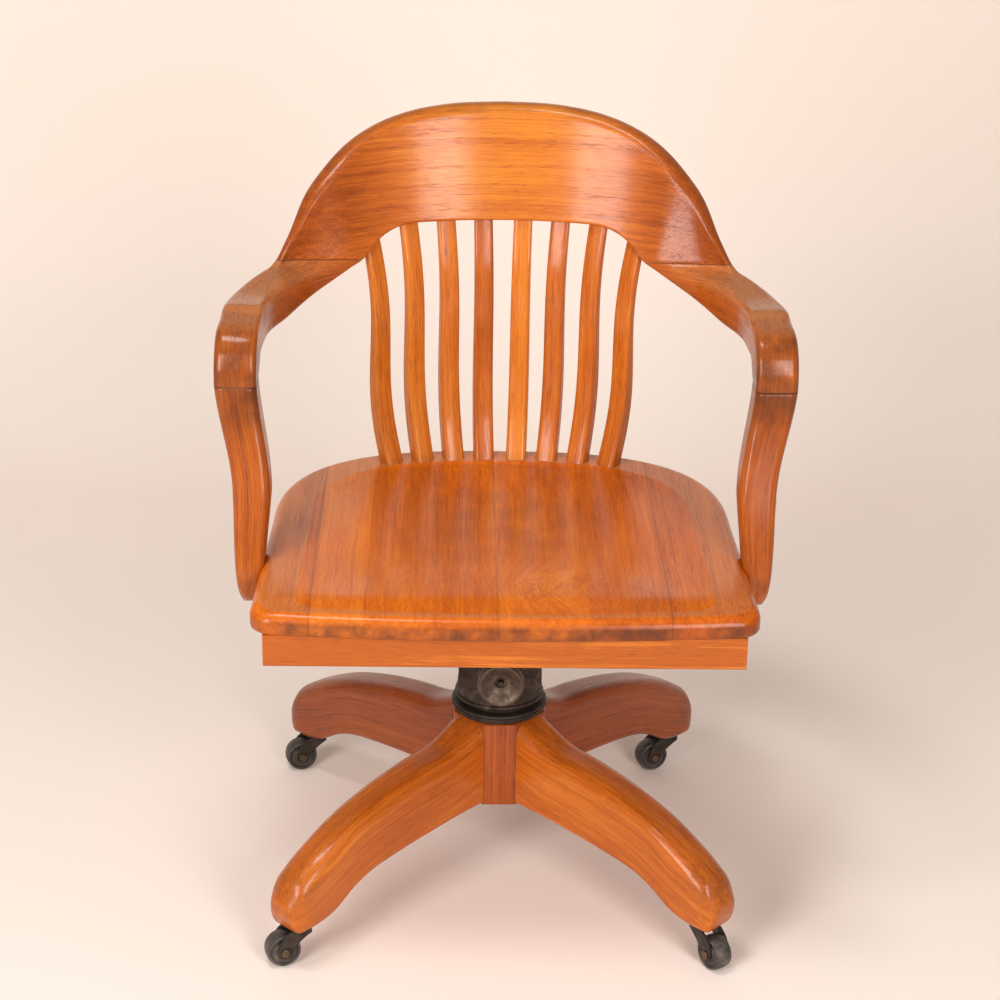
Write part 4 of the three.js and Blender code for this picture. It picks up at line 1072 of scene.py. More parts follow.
def arm_sections():
    sections = [bow_section(mix(ARM_START_ANGLE, 90, i / 70)) for i in range(71)]

    def span_at(y):
        return mix(BOW_HALF_WIDTH, ELBOW_HALF_SPAN, portion(-y, -BOW_CENTRE, ELBOW_FRONT))

    inner_end = -ELBOW_FRONT + POST_TOP_DEPTH
    run_end = inner_end + ELBOW_FILLET
    for i in range(1, 17):
        share = i / 16
        y = mix(BOW_CENTRE, run_end, share)
        low = (span_at(y), y, ARM_LOW)
        high = (span_at(y), y, mix(ARM_SHOULDER, ARM_TOP, ease(share)))
        width = mix(ARM_WIDTH, POST_TOP_WIDTH, share)
        sections.append(bar_section(low, high, width, ARM_EDGE / 2, ARM_EDGE + 2))
    for i in range(1, 25):
        s, c = sin_cos(90 * i / 24)
        outer_y = -ELBOW_FRONT + ELBOW_RUN * (1 - s)
        inner_y = mix(run_end, inner_end, s)
        low = (span_at(inner_y), inner_y, mix(ELBOW_JOINT, ARM_LOW, c))
        high = (span_at(outer_y), outer_y, mix(ELBOW_JOINT, ARM_TOP, c))
        swell = sin_cos(180 * i / 24)[0]
        rounding = ARM_EDGE + 2 + 3 * swell
        low_edge = mix(ARM_EDGE / 2, POST_EDGE, s)
        sections.append(bar_section(low, high, POST_TOP_WIDTH, low_edge, rounding, 0.2 + 1.6 * swell))
    for height in (ELBOW_NECK, ELBOW_SEAM + GAP / 2):
        one = post_station(height)
        sections.append(bar_section(one["low"], one["high"], one["width"], POST_EDGE, POST_EDGE + 1))
    rings = evened([points for points, _ in sections], start=45, passes=16)
    return [(points, local) for points, (_, local) in zip(rings, sections)]


def post_station(height):
    share = portion(-height, -ELBOW_JOINT, -POST_LOW)
    to_waist = ease(portion(-height, -ELBOW_JOINT, -POST_WAIST_HEIGHT))
    to_seat = ease(portion(-height, -POST_WAIST_HEIGHT, -SEAT_TOP))
    to_foot = portion(-height, -POST_WAIST_HEIGHT, -POST_LOW)
    waist_span = mix(ELBOW_HALF_SPAN, SEAT_POST_HALF_WIDTH + POST_WAIST_OUT, to_waist)
    span = mix(waist_span, SEAT_POST_HALF_WIDTH - POST_HOUSING + POST_FOOT_WIDTH / 2, to_seat)
    depth = mix(POST_TOP_DEPTH, POST_FOOT_DEPTH, share)
    centre = -mix(ELBOW_FRONT, POST_FOOT_FRONT, ease(share)) + depth / 2
    end = math.sqrt(1 - 0.97 * portion(-height, -POST_LOW - POST_FOOT_ROUND, -POST_LOW) ** 2)
    width = mix(mix(POST_TOP_WIDTH, POST_WAIST_WIDTH, to_waist), POST_FOOT_WIDTH, to_foot)
    return dict(
        low=(span, centre + depth / 2 * end, height),
        high=(span, centre - depth / 2 * end, height),
        side=(1, 0, 0),
        width=width * mix(0.6, 1, end),
        low_edge=POST_EDGE,
        high_edge=POST_EDGE,
        crown=0.0,
    )


def mirrored(stations, side):
    flip = np.array([side, 1, 1])
    flipped = []
    for one in stations:
        turned = {key: np.asarray(one[key], float) * flip for key in ("low", "high", "side")}
        flipped.append({**one, **turned})
    return flipped


def make_arms():
    def joint(p):
        return 1 + (from_seam(p) if p[1] > ARM_MIDDLE else p[2] - ELBOW_SEAM) * MM

    def wear_and_sheen(p):
        upper = 0.6 * portion(p[2], ARM_TOP - 8, ARM_TOP + 2)
        return upper * portion(-p[1], -150, -90) * portion(p[1], -92, -70)

    def shade_and_soil(p):
        # Painted shade at the bend of the elbow, and darker towards the underside of the arm.
        elbow = 0.6 * math.exp(-(((p[1] + 86) / 17) ** 2))
        return elbow + 0.35 * portion(-p[2], -JOINT_HEIGHT, -ARM_LOW) ** 2

    def post_shade(p):
        # Painted shade on the post below the elbow, and painted shade low on the post where it meets the
        # seat.
        top_shade = 0.75 * portion(p[2], ELBOW_SEAM - 90, ELBOW_SEAM - 6)
        return top_shade + 0.3 * portion(-p[2], -413, -388)

    for name, side in (("left", -1), ("right", 1)):
        marks = {"joint": joint, "wear_and_sheen": wear_and_sheen, "shade_and_soil": shade_and_soil, "tone": lambda p: 0.36}
        arm = carved("arm_shell_" + name, arm_sections(), side, 40 + 3 * side, marks, above=False)
        finish_piece(arm, golden_oak, "seat", "oak", "arm_" + name)
        marks = {"joint": lambda p: 1 + (p[2] - ELBOW_SEAM) * MM, "shade_and_soil": post_shade, "tone": lambda p: 0.25}
        stations = [post_station(mix(ELBOW_SEAM - GAP / 2, POST_LOW, i / 60)) for i in range(61)]
        post = plank("post_shell_" + name, mirrored(stations, side), 60 + 3 * side, marks)
        seat_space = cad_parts["seat_board"].data.copy()
        combined(post, [seat_space], "DIFFERENCE")
        finish_piece(post, golden_oak, "seat", "oak", "arm_post_" + name)


# Guide lines and points of the slats, the spring and the screws
def guide(name, points, edges, attributes):
    mesh = mesh_of(name, points, [], edges)
    for label, (kind, values) in attributes.items():
        set_attribute(mesh, label, values, kind)
    return new_piece(name, mesh)


class GeometryNodes(Nodes):
    def __init__(self, name, sizes):
        super().__init__(bpy.data.node_groups.new(name, "GeometryNodeTree"))
        interface = self.tree.interface
        interface.new_socket("Geometry", in_out="INPUT", socket_type="NodeSocketGeometry")
        interface.new_socket("Geometry", in_out="OUTPUT", socket_type="NodeSocketGeometry")
        self.sockets = {}
        for label, (kind, value) in sizes.items():
            self.sockets[label] = interface.new_socket(label, in_out="INPUT", socket_type="NodeSocket" + kind)
            self.sockets[label].default_value = value
        self.start = self.add("NodeGroupInput")
        self.end = self.add("NodeGroupOutput")

    def named(self, label, kind="FLOAT"):
        node = self.add("GeometryNodeInputNamedAttribute", {"Name": label}, data_type=kind)
        return next(s for s in node.outputs if s.name == "Attribute" and s.enabled)

    def store(self, geometry, label, value):
        node = self.add("GeometryNodeStoreNamedAttribute", data_type="FLOAT_VECTOR", domain="POINT")
        self.feed(node.inputs["Geometry"], geometry)
        self.feed(node.inputs["Name"], label)
        self.feed(next(s for s in node.inputs if s.name == "Value" and s.enabled), value)
        return node.outputs[0]

    def finish(self, geometry, material):
        real = self.add("GeometryNodeRealizeInstances", {"Geometry": geometry}).outputs[0]
        coated = self.add("GeometryNodeSetMaterial", {"Geometry": real})
        coated.inputs["Material"].default_value = material
        self.feed(self.end.inputs[0], coated.outputs[0])

    def run(self, piece, values):
        modifier = piece.modifiers.new("made", "NODES")
        modifier.node_group = self.tree
        for label, value in values.items():
            modifier[self.sockets[label].identifier] = value
        return applied(piece)


def rounded_bar_tree(material):
    """Bars with a rounded section that follow guide lines with a turn, a width and a thickness."""
    nodes = GeometryNodes("rounded bars", {"Corner share": ("Float", 0.22), "Corner steps": ("Int", 5)})
    shape = nodes.add("GeometryNodeCurvePrimitiveQuadrilateral", {"Width": 1.0, "Height": 1.0}).outputs[0]
    share, steps = (nodes.start.outputs[label] for label in ("Corner share", "Corner steps"))
    inputs = {"Curve": shape, "Radius": share, "Count": steps}
    rounded = nodes.add("GeometryNodeFilletCurve", inputs, mode="POLY")
    place = nodes.add("GeometryNodeInputPosition").outputs[0]
    section = nodes.store(rounded.outputs[0], "section", place)
    line = nodes.add("GeometryNodeMeshToCurve", {"Mesh": nodes.start.outputs["Geometry"]}).outputs[0]
    line = nodes.store(line, "centre", place)
    bars = nodes.add(
        "GeometryNodeCurveToMesh", {"Curve": line, "Profile Curve": section, "Fill Caps": True}
    ).outputs[0]
    part = nodes.add("ShaderNodeSeparateXYZ", {"Vector": nodes.named("section", "FLOAT_VECTOR")})
    across = nodes.math("MULTIPLY", part.outputs["X"], nodes.named("width"))
    crown = nodes.math("MULTIPLY", nodes.math("MULTIPLY", part.outputs["X"], part.outputs["X"]), -0.5)
    fullness = nodes.math("ADD", crown, 1.0)
    depth = nodes.math("MULTIPLY", nodes.named("thickness"), fullness)
    through_it = nodes.math("MULTIPLY", part.outputs["Y"], depth)
    sideways = nodes.vector("SCALE", nodes.named("side", "FLOAT_VECTOR"), across)
    backwards = nodes.vector("SCALE", nodes.named("back", "FLOAT_VECTOR"), through_it)
    offset = nodes.vector("ADD", sideways, backwards)
    where = nodes.vector("ADD", nodes.named("centre", "FLOAT_VECTOR"), offset)
    bars = nodes.add("GeometryNodeSetPosition", {"Geometry": bars, "Position": where}).outputs[0]
    inputs = {"X": nodes.named("along"), "Y": across, "Z": through_it}
    fibre = nodes.add("ShaderNodeCombineXYZ", inputs).outputs[0]
    shift = nodes.vector("SCALE", (7.0, 1.0, 3.0), nodes.named("shift"))
    bars = nodes.store(bars, "grain", nodes.vector("ADD", fibre, shift))
    nodes.finish(bars, material)
    return nodes


def make_slats():
    places = [p for p in range(-SLAT_HALF_COUNT, SLAT_HALF_COUNT + 1) if p]
    tones = [0.66, 0.7, 0.62, 0.4, 0.72, 0.5, 0.48, 0.5]
    points, edges = [], []
    lists = {label: [] for label in ("side", "back", "width", "thickness", "along", "shift", "tone", "shade_and_soil")}
    steps = 56
    for index, place in enumerate(places):
        outer = (abs(place) - 1) / (SLAT_HALF_COUNT - 1)
        part = math.copysign(mix(SLAT_INNER_SHARE, 1, outer), place)
        foot_back = SLAT_FOOT_BACK - SLAT_FOOT_CURVE * part**2
        foot = np.array([SLAT_FOOT_SPAN * part, foot_back, SEAT_TOP - SLAT_TENON])
        head_angle = math.degrees(math.asin(SLAT_HEAD_SPAN * part / BOW_HALF_WIDTH))
        head = crest_place(head_angle, crest_low_edge(head_angle) + SLAT_TENON)
        s, c = sin_cos(SLAT_TURN * part)
        back = np.array([s, c, 0])
        for i in range(steps + 1):
            share = i / steps
            bend = SLAT_BEND * (math.sin(2 * math.pi * share) + math.sin(math.pi * share) / 3)
            if i:
                edges.append((len(points) - 1, len(points)))
            points.append(mix(foot, head, share) + back * bend)
            lists["side"].append((c, -s, 0))
            lists["back"].append(back)
            lists["width"].append(mix(SLAT_WIDTH, SLAT_HEAD_WIDTH, share) * MM)
            lists["thickness"].append(mix(SLAT_FOOT_THICKNESS, SLAT_HEAD_THICKNESS, ease(share)) * MM)
            lists["along"].append(np.linalg.norm(head - foot) * share * MM)
            lists["shift"].append((80 + 5 * index) * MM)
            lists["tone"].append(tones[index])
            # Painted shade in a band just above the seat, where the slat enters it.
            lists["shade_and_soil"].append(0.3 * math.exp(-(((share - 0.04) / 0.02) ** 2)))
    kinds = {label: "FLOAT_VECTOR" if label in ("side", "back") else "FLOAT" for label in lists}
    piece = guide("back_slats", points, edges, {label: (kinds[label], lists[label]) for label in lists})
    rounded_bar_tree(golden_oak).run(piece, {"Corner share": 0.2, "Corner steps": 6})
    face_out(piece.data)
    smooth(piece.data)
    names = ["slat_%d" % i for i in range(1, 2 * SLAT_HALF_COUNT + 1)]
    finish_piece(piece, golden_oak, "seat", "oak", *names)


# Base
def make_hub():
    outline = []
    for quarter in range(4):
        s, c = (round(v) for v in sin_cos(90 * quarter))
        for offset in (-HUB_CORNER, HUB_CORNER):
            outline.append((HUB_HALF * c - offset * s, HUB_HALF * s + offset * c))
    mesh = block_mesh("hub", [(x, y, z) for z in (HUB_LOW, HUB_TOP) for x, y in outline])
    hub = new_piece("hub_block", mesh)
    combined(hub, [drill("bore", HUB_BORE, HUB_LOW - 9, HUB_TOP + 9)], "DIFFERENCE")
    eased(hub, 1.6)
    placed(hub.data, "Z", BASE_TURN)
    co = np.array([v.co for v in hub.data.vertices])
    set_attribute(hub.data, "grain", co[:, [2, 0, 1]] + [0.3, 0.11, 0.07], "FLOAT_VECTOR")
    set_attribute(hub.data, "tone", np.full(len(co), 0.5))
    finish_piece(hub, red_oak, "base", "oak", "hub_post")


leg_top = through(LEG_TOP_SHARES)
leg_low = through(LEG_LOW_SHARES)


def leg_stations(heading):
    start = (HUB_HALF + HUB_CORNER) / math.sqrt(2) + GAP
    tip = FOOT_REACH + FOOT_OVERHANG
    s, c = sin_cos(heading)
    stations = []
    straight, rounded = 0.86, 0.1395  # shares of the leg
    shares = [straight * k / 60 for k in range(60)]
    shares += [straight + rounded * math.sin(math.pi / 2 * k / 30) for k in range(31)]
    for share in shares:
        reach = mix(start, tip, share)
        end = (1 - portion(share, 1 - FOOT_ROUND_SHARE, 1) ** 3) ** (1 / 3)
        stations.append(
            dict(
                low=(reach * c, reach * s, mix(FOOT_HEIGHT, HUB_LOW, leg_low(share))),
                high=(reach * c, reach * s, mix(FOOT_HEIGHT, HUB_TOP, leg_top(share))),
                side=(-s, c, 0),
                width=LEG_WIDTH * mix(FOOT_TIP_SHARE, 1, end),
                low_edge=LEG_LOW_EDGE,
                high_edge=mix(LEG_EDGE, LEG_FOOT_EDGE, ease(portion(share, 0.6, 0.95))),
                crown=0.6,
            )
        )
    return stations


def make_legs():
    def leg_stain_and_shade(p):
        reach = math.hypot(p[0], p[1])
        tip = portion(reach, 295, FOOT_REACH + FOOT_OVERHANG)
        tip *= portion(p[2], FOOT_HEIGHT + 8, FOOT_HEIGHT + 55)
        # A real stain near the foot, and painted shade on the top of the leg under the nut beside the hub.
        return 0.5 * tip + 0.35 * portion(-reach, -72, -40) * portion(p[2], 133, 198)

    for index, (name, heading) in enumerate(CORNERS.items()):
        material = golden_oak if name.startswith("front") else red_oak
        marks = {"shade_and_soil": leg_stain_and_shade, "tone": lambda p: 0.45}
        leg = plank("leg_shell_" + name, leg_stations(heading), 110 + 9 * index, marks, passes=8)
        s, c = sin_cos(heading)
        hole = drill("hole", SOCKET_HOLE_RADIUS, 30, SOCKET_HOLE_TOP, 32)
        combined(leg, [placed(hole, move=(FOOT_REACH * c, FOOT_REACH * s, 0))], "DIFFERENCE")
        finish_piece(leg, material, "base", "oak", "leg_" + name)


def mirrored_profile(half):
    """A whole profile from the half above the middle."""
    return [(radius, -height, rounding) for radius, height, rounding in reversed(half)] + half


def make_casters():
    inner = WHEEL_WIDTH / 2 + RUN_GAP
    outer = inner + FORK_THICKNESS
    head_low = FORK_TOP - FORK_HEAD
    root = FORK_HEAD_RADIUS * 0.7
    horn = [(-root, FORK_TOP - FORK_HEAD / 4), (-root, head_low - FORK_HEAD / 2)]
    middle = (CASTER_TRAIL / 3, mix(head_low, WHEEL_RADIUS, 0.5))
    horn += bend_points(horn[-1], middle, (CASTER_TRAIL - FORK_EYE_RADIUS, WHEEL_RADIUS))
    horn += arc_points((CASTER_TRAIL, WHEEL_RADIUS), FORK_EYE_RADIUS, 180, 360, 16)[1:]
    horn += bend_points(
        horn[-1], (CASTER_TRAIL + FORK_EYE_RADIUS, head_low - FORK_HEAD), (root, FORK_TOP - FORK_HEAD / 4)
    )
    spans = ((-outer, -inner), (inner, outer))
    for name, heading in CORNERS.items():
        s, c = sin_cos(heading)

        def at_caster(mesh):
            turn = CASTER_HEADINGS[name]
            return placed(mesh, "Z", turn, (FOOT_REACH * c, FOOT_REACH * s, 0))

        def on_axle(mesh):
            return at_caster(placed(mesh, "X", 90, (CASTER_TRAIL, 0, WHEEL_RADIUS)))

        profile = [
            (0, head_low, 0), (FORK_HEAD_RADIUS, head_low, 1.2), (FORK_HEAD_RADIUS, FORK_TOP, 1.2),
            (STEM_RADIUS, FORK_TOP, 0.6), (STEM_RADIUS, STEM_TOP, 1), (0, STEM_TOP, 0),
        ]
        fork = new_piece("fork_casting_" + name, turned_mesh("stem", profile, 40))
        horns = [placed(plate_mesh("horn", horn, *span), "Z", -90) for span in spans]
        hole = drill("hole", AXLE_RADIUS + GAP, -40, 40, 24)
        combined(fork, horns, "UNION")
        combined(fork, [placed(hole, "X", 90, (CASTER_TRAIL, 0, WHEEL_RADIUS))], "DIFFERENCE")
        eased(fork, 0.7, 2)
        at_caster(fork.data)
        finish_piece(fork, black_iron, "caster_" + name, "black_iron", "caster_fork_" + name)

        end = outer + GAP + AXLE_HEAD
        profile = mirrored_profile([
            (AXLE_RADIUS, end - AXLE_HEAD, 0), (AXLE_HEAD_RADIUS, end - AXLE_HEAD, 0.2),
            (AXLE_HEAD_RADIUS, end, 1.1), (0, end, 0),
        ])
        axle = turned_mesh("axle", profile, 32)
        looks = (dull_brass, "caster_" + name, "brass", "caster_axle_" + name)
        finish_smooth("axle_rivet_" + name, on_axle(axle), *looks)

        half = WHEEL_WIDTH / 2
        well_outer, well_inner = WHEEL_WELL_RADII
        profile = mirrored_profile([
            (TREAD_RADIUS, TREAD_HALF_WIDTH, 2), (WHEEL_SHOULDER_RADIUS, half - 0.6, 0.8),
            (WHEEL_RIM_RADIUS, half, 0.6), (well_outer, half - WHEEL_WELL, 1),
            (well_inner, half - WHEEL_WELL, 1), (WHEEL_BOSS_RADIUS, half - 0.4, 0.8),
            (AXLE_RADIUS + RUN_GAP, half - 0.2, 0),
        ])
        wheel = turned_mesh("wheel", profile, closed=True)
        looks = (hard_tread, "wheel_" + name, "caster_tread", "caster_wheel_" + name)
        finish_smooth("wheel_tread_" + name, on_axle(wheel), *looks)


# Iron mechanism
def make_nut():
    profile = [
        (SPINDLE_BORE, NUT_LOW - NUT_SLEEVE, 0), (NUT_SLEEVE_RADIUS, NUT_LOW - NUT_SLEEVE, 0.6),
        (NUT_SLEEVE_RADIUS, NUT_LOW, 0), (NUT_RADIUS - 1.5, NUT_LOW, 0.8), (NUT_RADIUS, NUT_LOW + 1.5, 0.8),
        (NUT_RADIUS, NUT_LOW + 2.9, 0.5), (NUT_RADIUS - 1.6, NUT_LOW + 3.4, 0.4),
        (NUT_RADIUS - 1.6, NUT_LOW + 3.9, 0.4), (NUT_RADIUS, NUT_LOW + 4.4, 0.5),
        (NUT_RADIUS, NUT_LOW + 5.6, 0.8), (NUT_RADIUS - 1.6, NUT_LOW + NUT_RIM, 0.8),
        (NUT_BOSS_RADIUS, NUT_LOW + NUT_RIM, 0.5), (NUT_BOSS_RADIUS, NUT_TOP, 0.5),
        (SPINDLE_BORE, NUT_TOP, 0),
    ]
    ring = turned_mesh("ring", profile, 96, closed=True)
    finish_smooth("black_ring", ring, black_iron, "nut", "black_iron", "height_nut")


def make_housing():
    bell = [
        (0, BELL_LOW, 0), (BELL_RADIUS - 3, BELL_LOW, 1), (BELL_RADIUS, BELL_LOW + 3, 1.5),
        (BELL_RADIUS, BELL_LOW + 6, 1), (BELL_RADIUS - 2.5, BELL_LOW + 8, 1),
        (BELL_RADIUS - 3.5, BELL_TOP - 6, 3), (BELL_RADIUS - 8, BELL_TOP, 2), (0, BELL_TOP, 0),
    ]
    housing = new_piece("housing_casting", turned_mesh("bell", bell, 96))
    shoulder = BELL_TOP - 5
    block = box_mesh(
        "block", (-CHEEK_OUTER, CHEEK_OUTER), (-BLOCK_DEPTH, 0), (shoulder, BARREL_HEIGHT + BARREL_RADIUS / 2)
    )
    profile = [(0, 0, 0), (BARREL_RADIUS, 0, 1), (BARREL_RADIUS, BARREL_LENGTH, 2), (0, BARREL_LENGTH, 0)]
    barrel = along_barrel(turned_mesh("barrel", profile))
    ear = [(-CHEEK_HALF_DEPTH, shoulder), (CHEEK_HALF_DEPTH, shoulder)]
    ear += arc_points((0, PIVOT_HEIGHT), EAR_RADIUS, 0, 180, 24)
    spans = ((-CHEEK_OUTER, -CHEEK_INNER), (CHEEK_INNER, CHEEK_OUTER))
    cheeks = [plate_mesh("cheek", ear, *span) for span in spans]
    combined(housing, [block, barrel, *cheeks], "UNION")
    holes = [
        along_barrel(drill("bore", BARREL_BORE, BARREL_END, 90)),
        along_barrel(drill("rear", PLUNGER_HOLE_RADIUS, -9, 9, 32)),
        drill("socket", SPINDLE_HOLE_RADIUS, 183, SPINDLE_TOP + GAP, 48),
        placed(drill("pin", PIN_HOLE_RADIUS, -60, 60, 32), "Y", 90, (0, 0, PIVOT_HEIGHT)),
        placed(drill("lock", LOCK_HOLE_RADIUS, -60, 60, 24), "Y", 90, (0, 0, BELL_LOW + LOCK_HOLE_RISE)),
    ]
    combined(housing, holes, "DIFFERENCE")
    eased(housing, 1.1, 2)
    finish_piece(housing, cast_iron, "yoke", "cast_iron", "tilt_housing")


def make_knob():
    front = KNOB_BACK + KNOB_DEPTH
    floor = front - KNOB_DISH
    well = mix(KNOB_BACK, floor, 0.5)
    profile = [
        (ROD_RADIUS + GAP, KNOB_BACK, 0), (KNOB_RADIUS - 1, KNOB_BACK, 0.6),
        (KNOB_RADIUS, KNOB_BACK + 1.5, 0.8), (KNOB_RADIUS, front - 2.5, 1.6), (KNOB_RADIUS - 1.5, front, 1),
        (KNOB_RADIUS - KNOB_RIM, front, 1), (KNOB_HOLE + 5, floor + 1, 3), (KNOB_HOLE, floor - 0.3, 0.8),
        (KNOB_HOLE, well, 0.3), (ROD_RADIUS + GAP, well, 0),
    ]
    knob = along_barrel(turned_mesh("knob", profile, 96, closed=True))
    finish_smooth("knob_casting", knob, knob_iron, "knob", "cast_iron", "tension_knob")
    profile = [(0, ROD_END, 0), (ROD_RADIUS, ROD_END, 0.5), (ROD_RADIUS, ROD_TIP, 1.4), (0, ROD_TIP, 0)]
    rod = along_barrel(turned_mesh("rod", profile, 32))
    finish_smooth("rod_steel", rod, dark_steel, "knob", "steel", "tension_rod")


def make_small_iron():
    for node, name, body, material, slot, width in (
        ("seat_iron_left", "iron_left", "seat", cast_iron, "cast_iron", 1.2),
        ("seat_iron_right", "iron_right", "seat", cast_iron, "cast_iron", 1.2),
        ("tilt_lever", "lever_casting", "seat", cast_iron, "cast_iron", 1.2),
        ("hub_socket", "socket_plate", "base", black_iron, "black_iron", 0.6),
        ("tilt_pin", "pin_steel", "yoke", bright_steel, "steel", 0.8),
    ):
        finish_piece(eased_copy(name, node, width), material, body, slot, node)


def wire_tree(material):
    """Round wire along guide lines."""
    nodes = GeometryNodes("wire", {"Wire radius": ("Float", 0.001), "Sides": ("Int", 16)})
    line = nodes.add("GeometryNodeMeshToCurve", {"Mesh": nodes.start.outputs["Geometry"]}).outputs[0]
    sides, radius = (nodes.start.outputs[label] for label in ("Sides", "Wire radius"))
    circle = nodes.add("GeometryNodeCurvePrimitiveCircle", {"Resolution": sides, "Radius": radius})
    wire = nodes.add(
        "GeometryNodeCurveToMesh", {"Curve": line, "Profile Curve": circle.outputs[0], "Fill Caps": True}
    ).outputs[0]
    nodes.finish(wire, material)
    return nodes


def make_spring():
    steps, flat, flat_pitch = 40, 0.75, 2.6
    climb = SPRING_WIRE * flat_pitch * flat
    points = []
    for i in range(int(SPRING_TURNS * steps) + 1):
        turns = i / steps
        first, last = min(turns, flat), max(0, turns - (SPRING_TURNS - flat))
        middle = (turns - first - last) / (SPRING_TURNS - 2 * flat)
        height = SPRING_FROM + climb * (first + last) / flat + (SPRING_TO - SPRING_FROM - 2 * climb) * middle
        s, c = sin_cos(360 * turns)
        points.append((SPRING_RADIUS * c, -height, BARREL_HEIGHT + SPRING_RADIUS * s))
    parting = sum(-p[1] <= SPRING_PARTING for p in points)
    parts = (
        ("coil_rear", points[:parting], "plunger_slide", SPRING_PARTING - SPRING_FROM, PLUNGER_TRAVEL),
        ("coil_front", points[parting - 1 :], "cup_slide", SPRING_TO - SPRING_PARTING, CUP_TRAVEL),
    )
    for name, line, joint, length, travel in parts:
        piece = guide(name, line, [(i, i + 1) for i in range(len(line) - 1)], {})
        wire_tree(bright_steel).run(piece, {"Wire radius": SPRING_WIRE * MM, "Sides": 12})
        face_out(piece.data)
        smooth(piece.data)
        finish_piece(piece, bright_steel, "yoke", "steel", "tilt_spring")
        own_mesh(piece)


def screw_tree(material, head):
    """A slotted screw head on each guide point, turned to face the way its attribute says."""
    nodes = GeometryNodes("screws", {"Head": ("Object", head), "Size": ("Float", 1.0)})
    points, picked, size = (nodes.start.outputs[label] for label in ("Geometry", "Head", "Size"))
    shape = nodes.add("GeometryNodeObjectInfo", {"Object": picked}, transform_space="RELATIVE")
    facing = nodes.named("facing", "FLOAT_VECTOR")
    turn = nodes.add("FunctionNodeAlignRotationToVector", {"Vector": facing}, axis="Z")
    inputs = {
        "Points": points,
        "Instance": shape.outputs["Geometry"],
        "Rotation": turn.outputs[0],
        "Scale": nodes.vector("SCALE", (1.0, 1.0, 1.0), size),
    }
    nodes.finish(nodes.add("GeometryNodeInstanceOnPoints", inputs).outputs[0], material)
    return nodes


def make_screws():
    shank = [(0, -3, 0), (2.4, -3, 0.3), (2.4, -1.4, 0.2)]
    dome = [(4.6, 0, 0.2), (4.4, 0.5, 0.3), (0, 1.3, 0)]
    head = new_piece("head", turned_mesh("head", shank + dome, 32))
    combined(head, [box_mesh("slot", (-0.55, 0.55), (-6, 6), (0.2, 3))], "DIFFERENCE")
    smooth(head.data)

    def screws(name, places, material, slot, size, *nodes):
        points = [p for p, _ in places]
        facing = [d for _, d in places]
        piece = guide(name, points, [], {"facing": ("FLOAT_VECTOR", facing)})
        screw_tree(material, head).run(piece, {"Head": head, "Size": size})
        smooth(piece.data)
        finish_piece(piece, material, "seat", slot, *nodes)

    down = (0, 0, -1)
    face = SEAT_POST_HALF_WIDTH - POST_HOUSING + POST_FOOT_WIDTH - 0.4
    height = (SEAT_TOP + SEAT_UNDER) / 2
    pad_face = APRON_TOP - PAD_THICKNESS
    middle = -POST_FOOT_FRONT + POST_FOOT_DEPTH / 2
    steps = (middle - POST_SCREW_STEP, middle + POST_SCREW_STEP)
    posts = [((side * face, y, height), (side, 0, 0)) for side in (-1, 1) for y in steps]
    names = ["post_screw_%s_%s" % (s, e) for s in ("left", "right") for e in ("front", "rear")]
    screws("post_screws", posts, bright_steel, "steel", 1.0, *names)
    spans = (-PLATE_SCREW_SPAN, PLATE_SCREW_SPAN)
    pads = [((side * PAD_SCREW_SPAN, y, pad_face), down) for side in (-1, 1) for y in PAD_SCREW_LINES]
    plate = [((x, y, pad_face), down) for x in spans for y in spans]
    screws("iron_screws", pads + plate, bright_steel, "steel", 0.9)
    rails = [((x, RAIL_SCREW_LINE, APRON_LOW - 0.2), down) for x in RAIL_SCREWS]
    screws("rail_screws", rails, black_iron, "black_iron", 0.9)
    bpy.data.objects.remove(head)


def dress_kept_nodes():
    kept = dict.fromkeys(("spindle_screw", "spindle_lock_pin", "spring_cup", "spring_plunger"), bright_steel)
    kept.update({"caster_socket_" + name: black_iron for name in CORNERS})
    for node, material in kept.items():
        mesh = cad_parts[node].data
        mesh.materials.clear()
        mesh.materials.append(material)


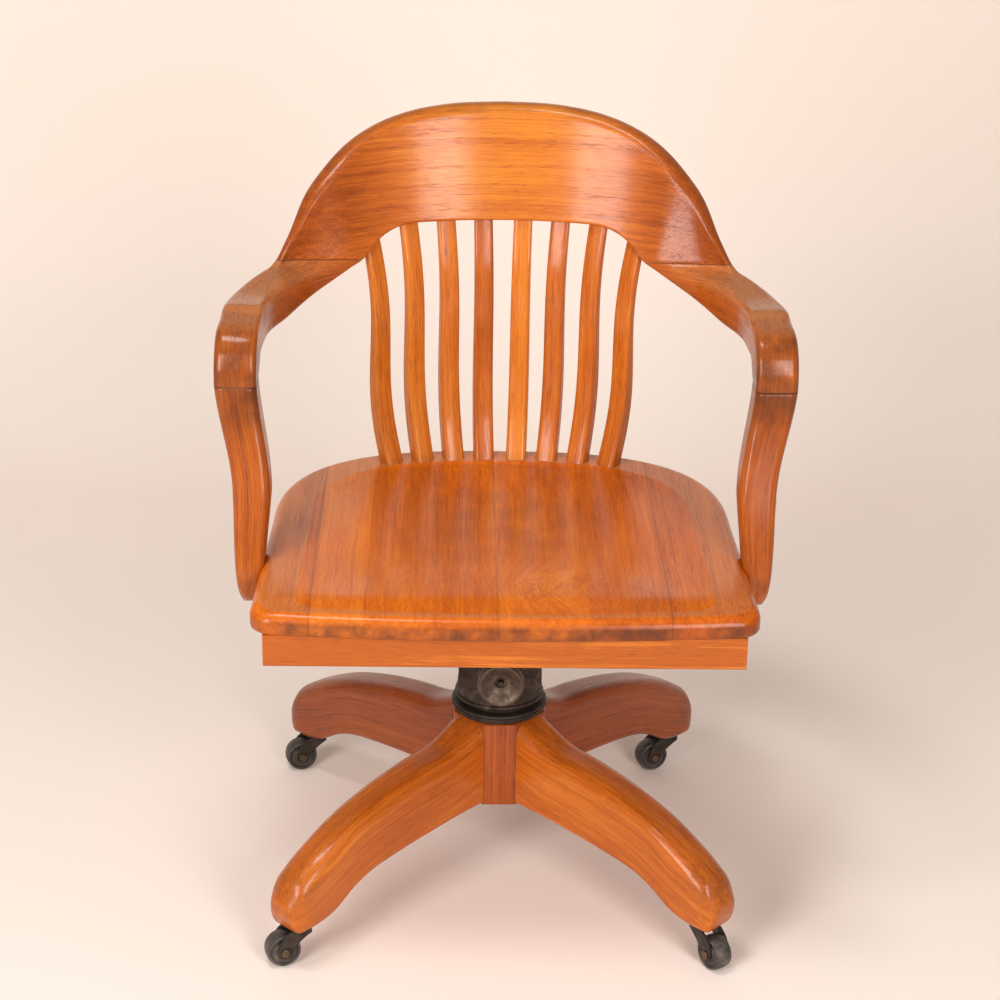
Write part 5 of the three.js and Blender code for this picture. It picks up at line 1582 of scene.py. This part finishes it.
# Stage, light and camera
def make_stage():
    width, front, wall, height, bend = 9.0, -5.0, 1.6, 1.3, 0.5
    outline = [(front, 0.0), (wall - bend, 0.0)]
    outline += [(wall - bend + bend * sin_cos(a)[0], bend - bend * sin_cos(a)[1]) for a in range(6, 90, 6)]
    outline += [(wall, bend), (wall, height)]
    points = [(x, y, z) for x in (-width / 2, width / 2) for y, z in outline]
    count = len(outline)
    faces = [(i, count + i, count + i + 1, i + 1) for i in range(count - 1)]
    mesh = bpy.data.meshes.new("backdrop")
    mesh.from_pydata(points, [], faces)
    mesh.polygons.foreach_set("use_smooth", [True] * len(faces))
    stage = new_piece("backdrop", mesh)
    material, nodes, shader = new_material("pale backdrop", 0.9)
    shader.inputs["Base Color"].default_value = (0.98, 0.86, 0.775, 1)
    behind = nodes.add("ShaderNodeNewGeometry").outputs["Backfacing"]
    clear = nodes.add("ShaderNodeBsdfTransparent").outputs[0]
    one_sided = nodes.add("ShaderNodeMixShader", {0: behind, 1: shader.outputs[0], 2: clear}).outputs[0]
    nodes.feed(nodes.tree.nodes["Material Output"].inputs["Surface"], one_sided)
    mesh.materials.append(material)


def area_light(name, place, target, size, power, colour):
    lamp = bpy.data.lights.new(name, "AREA")
    lamp.shape = "RECTANGLE"
    lamp.size, lamp.size_y = size
    lamp.energy = power
    lamp.color = colour
    piece = new_piece(name, lamp)
    piece.location = place
    direction = Vector(target) - Vector(place)
    piece.rotation_euler = direction.to_track_quat("-Z", "Y").to_euler()


def make_light():
    back, daylight = (0, 0.2, 0.75), (1.0, 0.97, 0.94)
    area_light("left window", (-1.55, -2.3, 1.39), back, (1.0, 1.5), 52, daylight)
    area_light("right window", (1.06, -2.54, 1.41), back, (0.8, 1.5), 42, daylight)
    area_light("top soft light", (-0.7, -0.75, 3.3), (0, 0.1, 0.4), (1.2, 0.5), 30, (1, 1, 1))
    world = bpy.data.worlds.new("room")
    world.use_nodes = True
    world.node_tree.nodes["Background"].inputs["Color"].default_value = (1.0, 0.96, 0.93, 1)
    world.node_tree.nodes["Background"].inputs["Strength"].default_value = 0.28
    bpy.context.scene.world = world


def make_camera():
    camera = bpy.data.cameras.new("camera")
    camera.sensor_width = 36
    camera.lens = CAMERA_LENS
    piece = new_piece("camera", camera)
    orbit = Matrix.Rotation(math.radians(CAMERA_ORBIT), 4, "Z")
    look = Matrix.Rotation(math.radians(90 - CAMERA_PITCH), 4, "X")
    roll = Matrix.Rotation(math.radians(CAMERA_ROLL), 4, "Z")
    piece.matrix_world = orbit @ Matrix.Translation(CAMERA_PLACE) @ look @ roll
    bpy.context.scene.camera = piece


make_camera()
make_seat()
make_apron()
make_crest()
make_arms()
make_slats()
make_hub()
make_legs()
make_casters()
make_nut()
make_housing()
make_knob()
make_small_iron()
make_spring()
make_screws()
dress_kept_nodes()
make_stage()
make_light()
bpy.context.scene.view_settings.view_transform = "Standard"
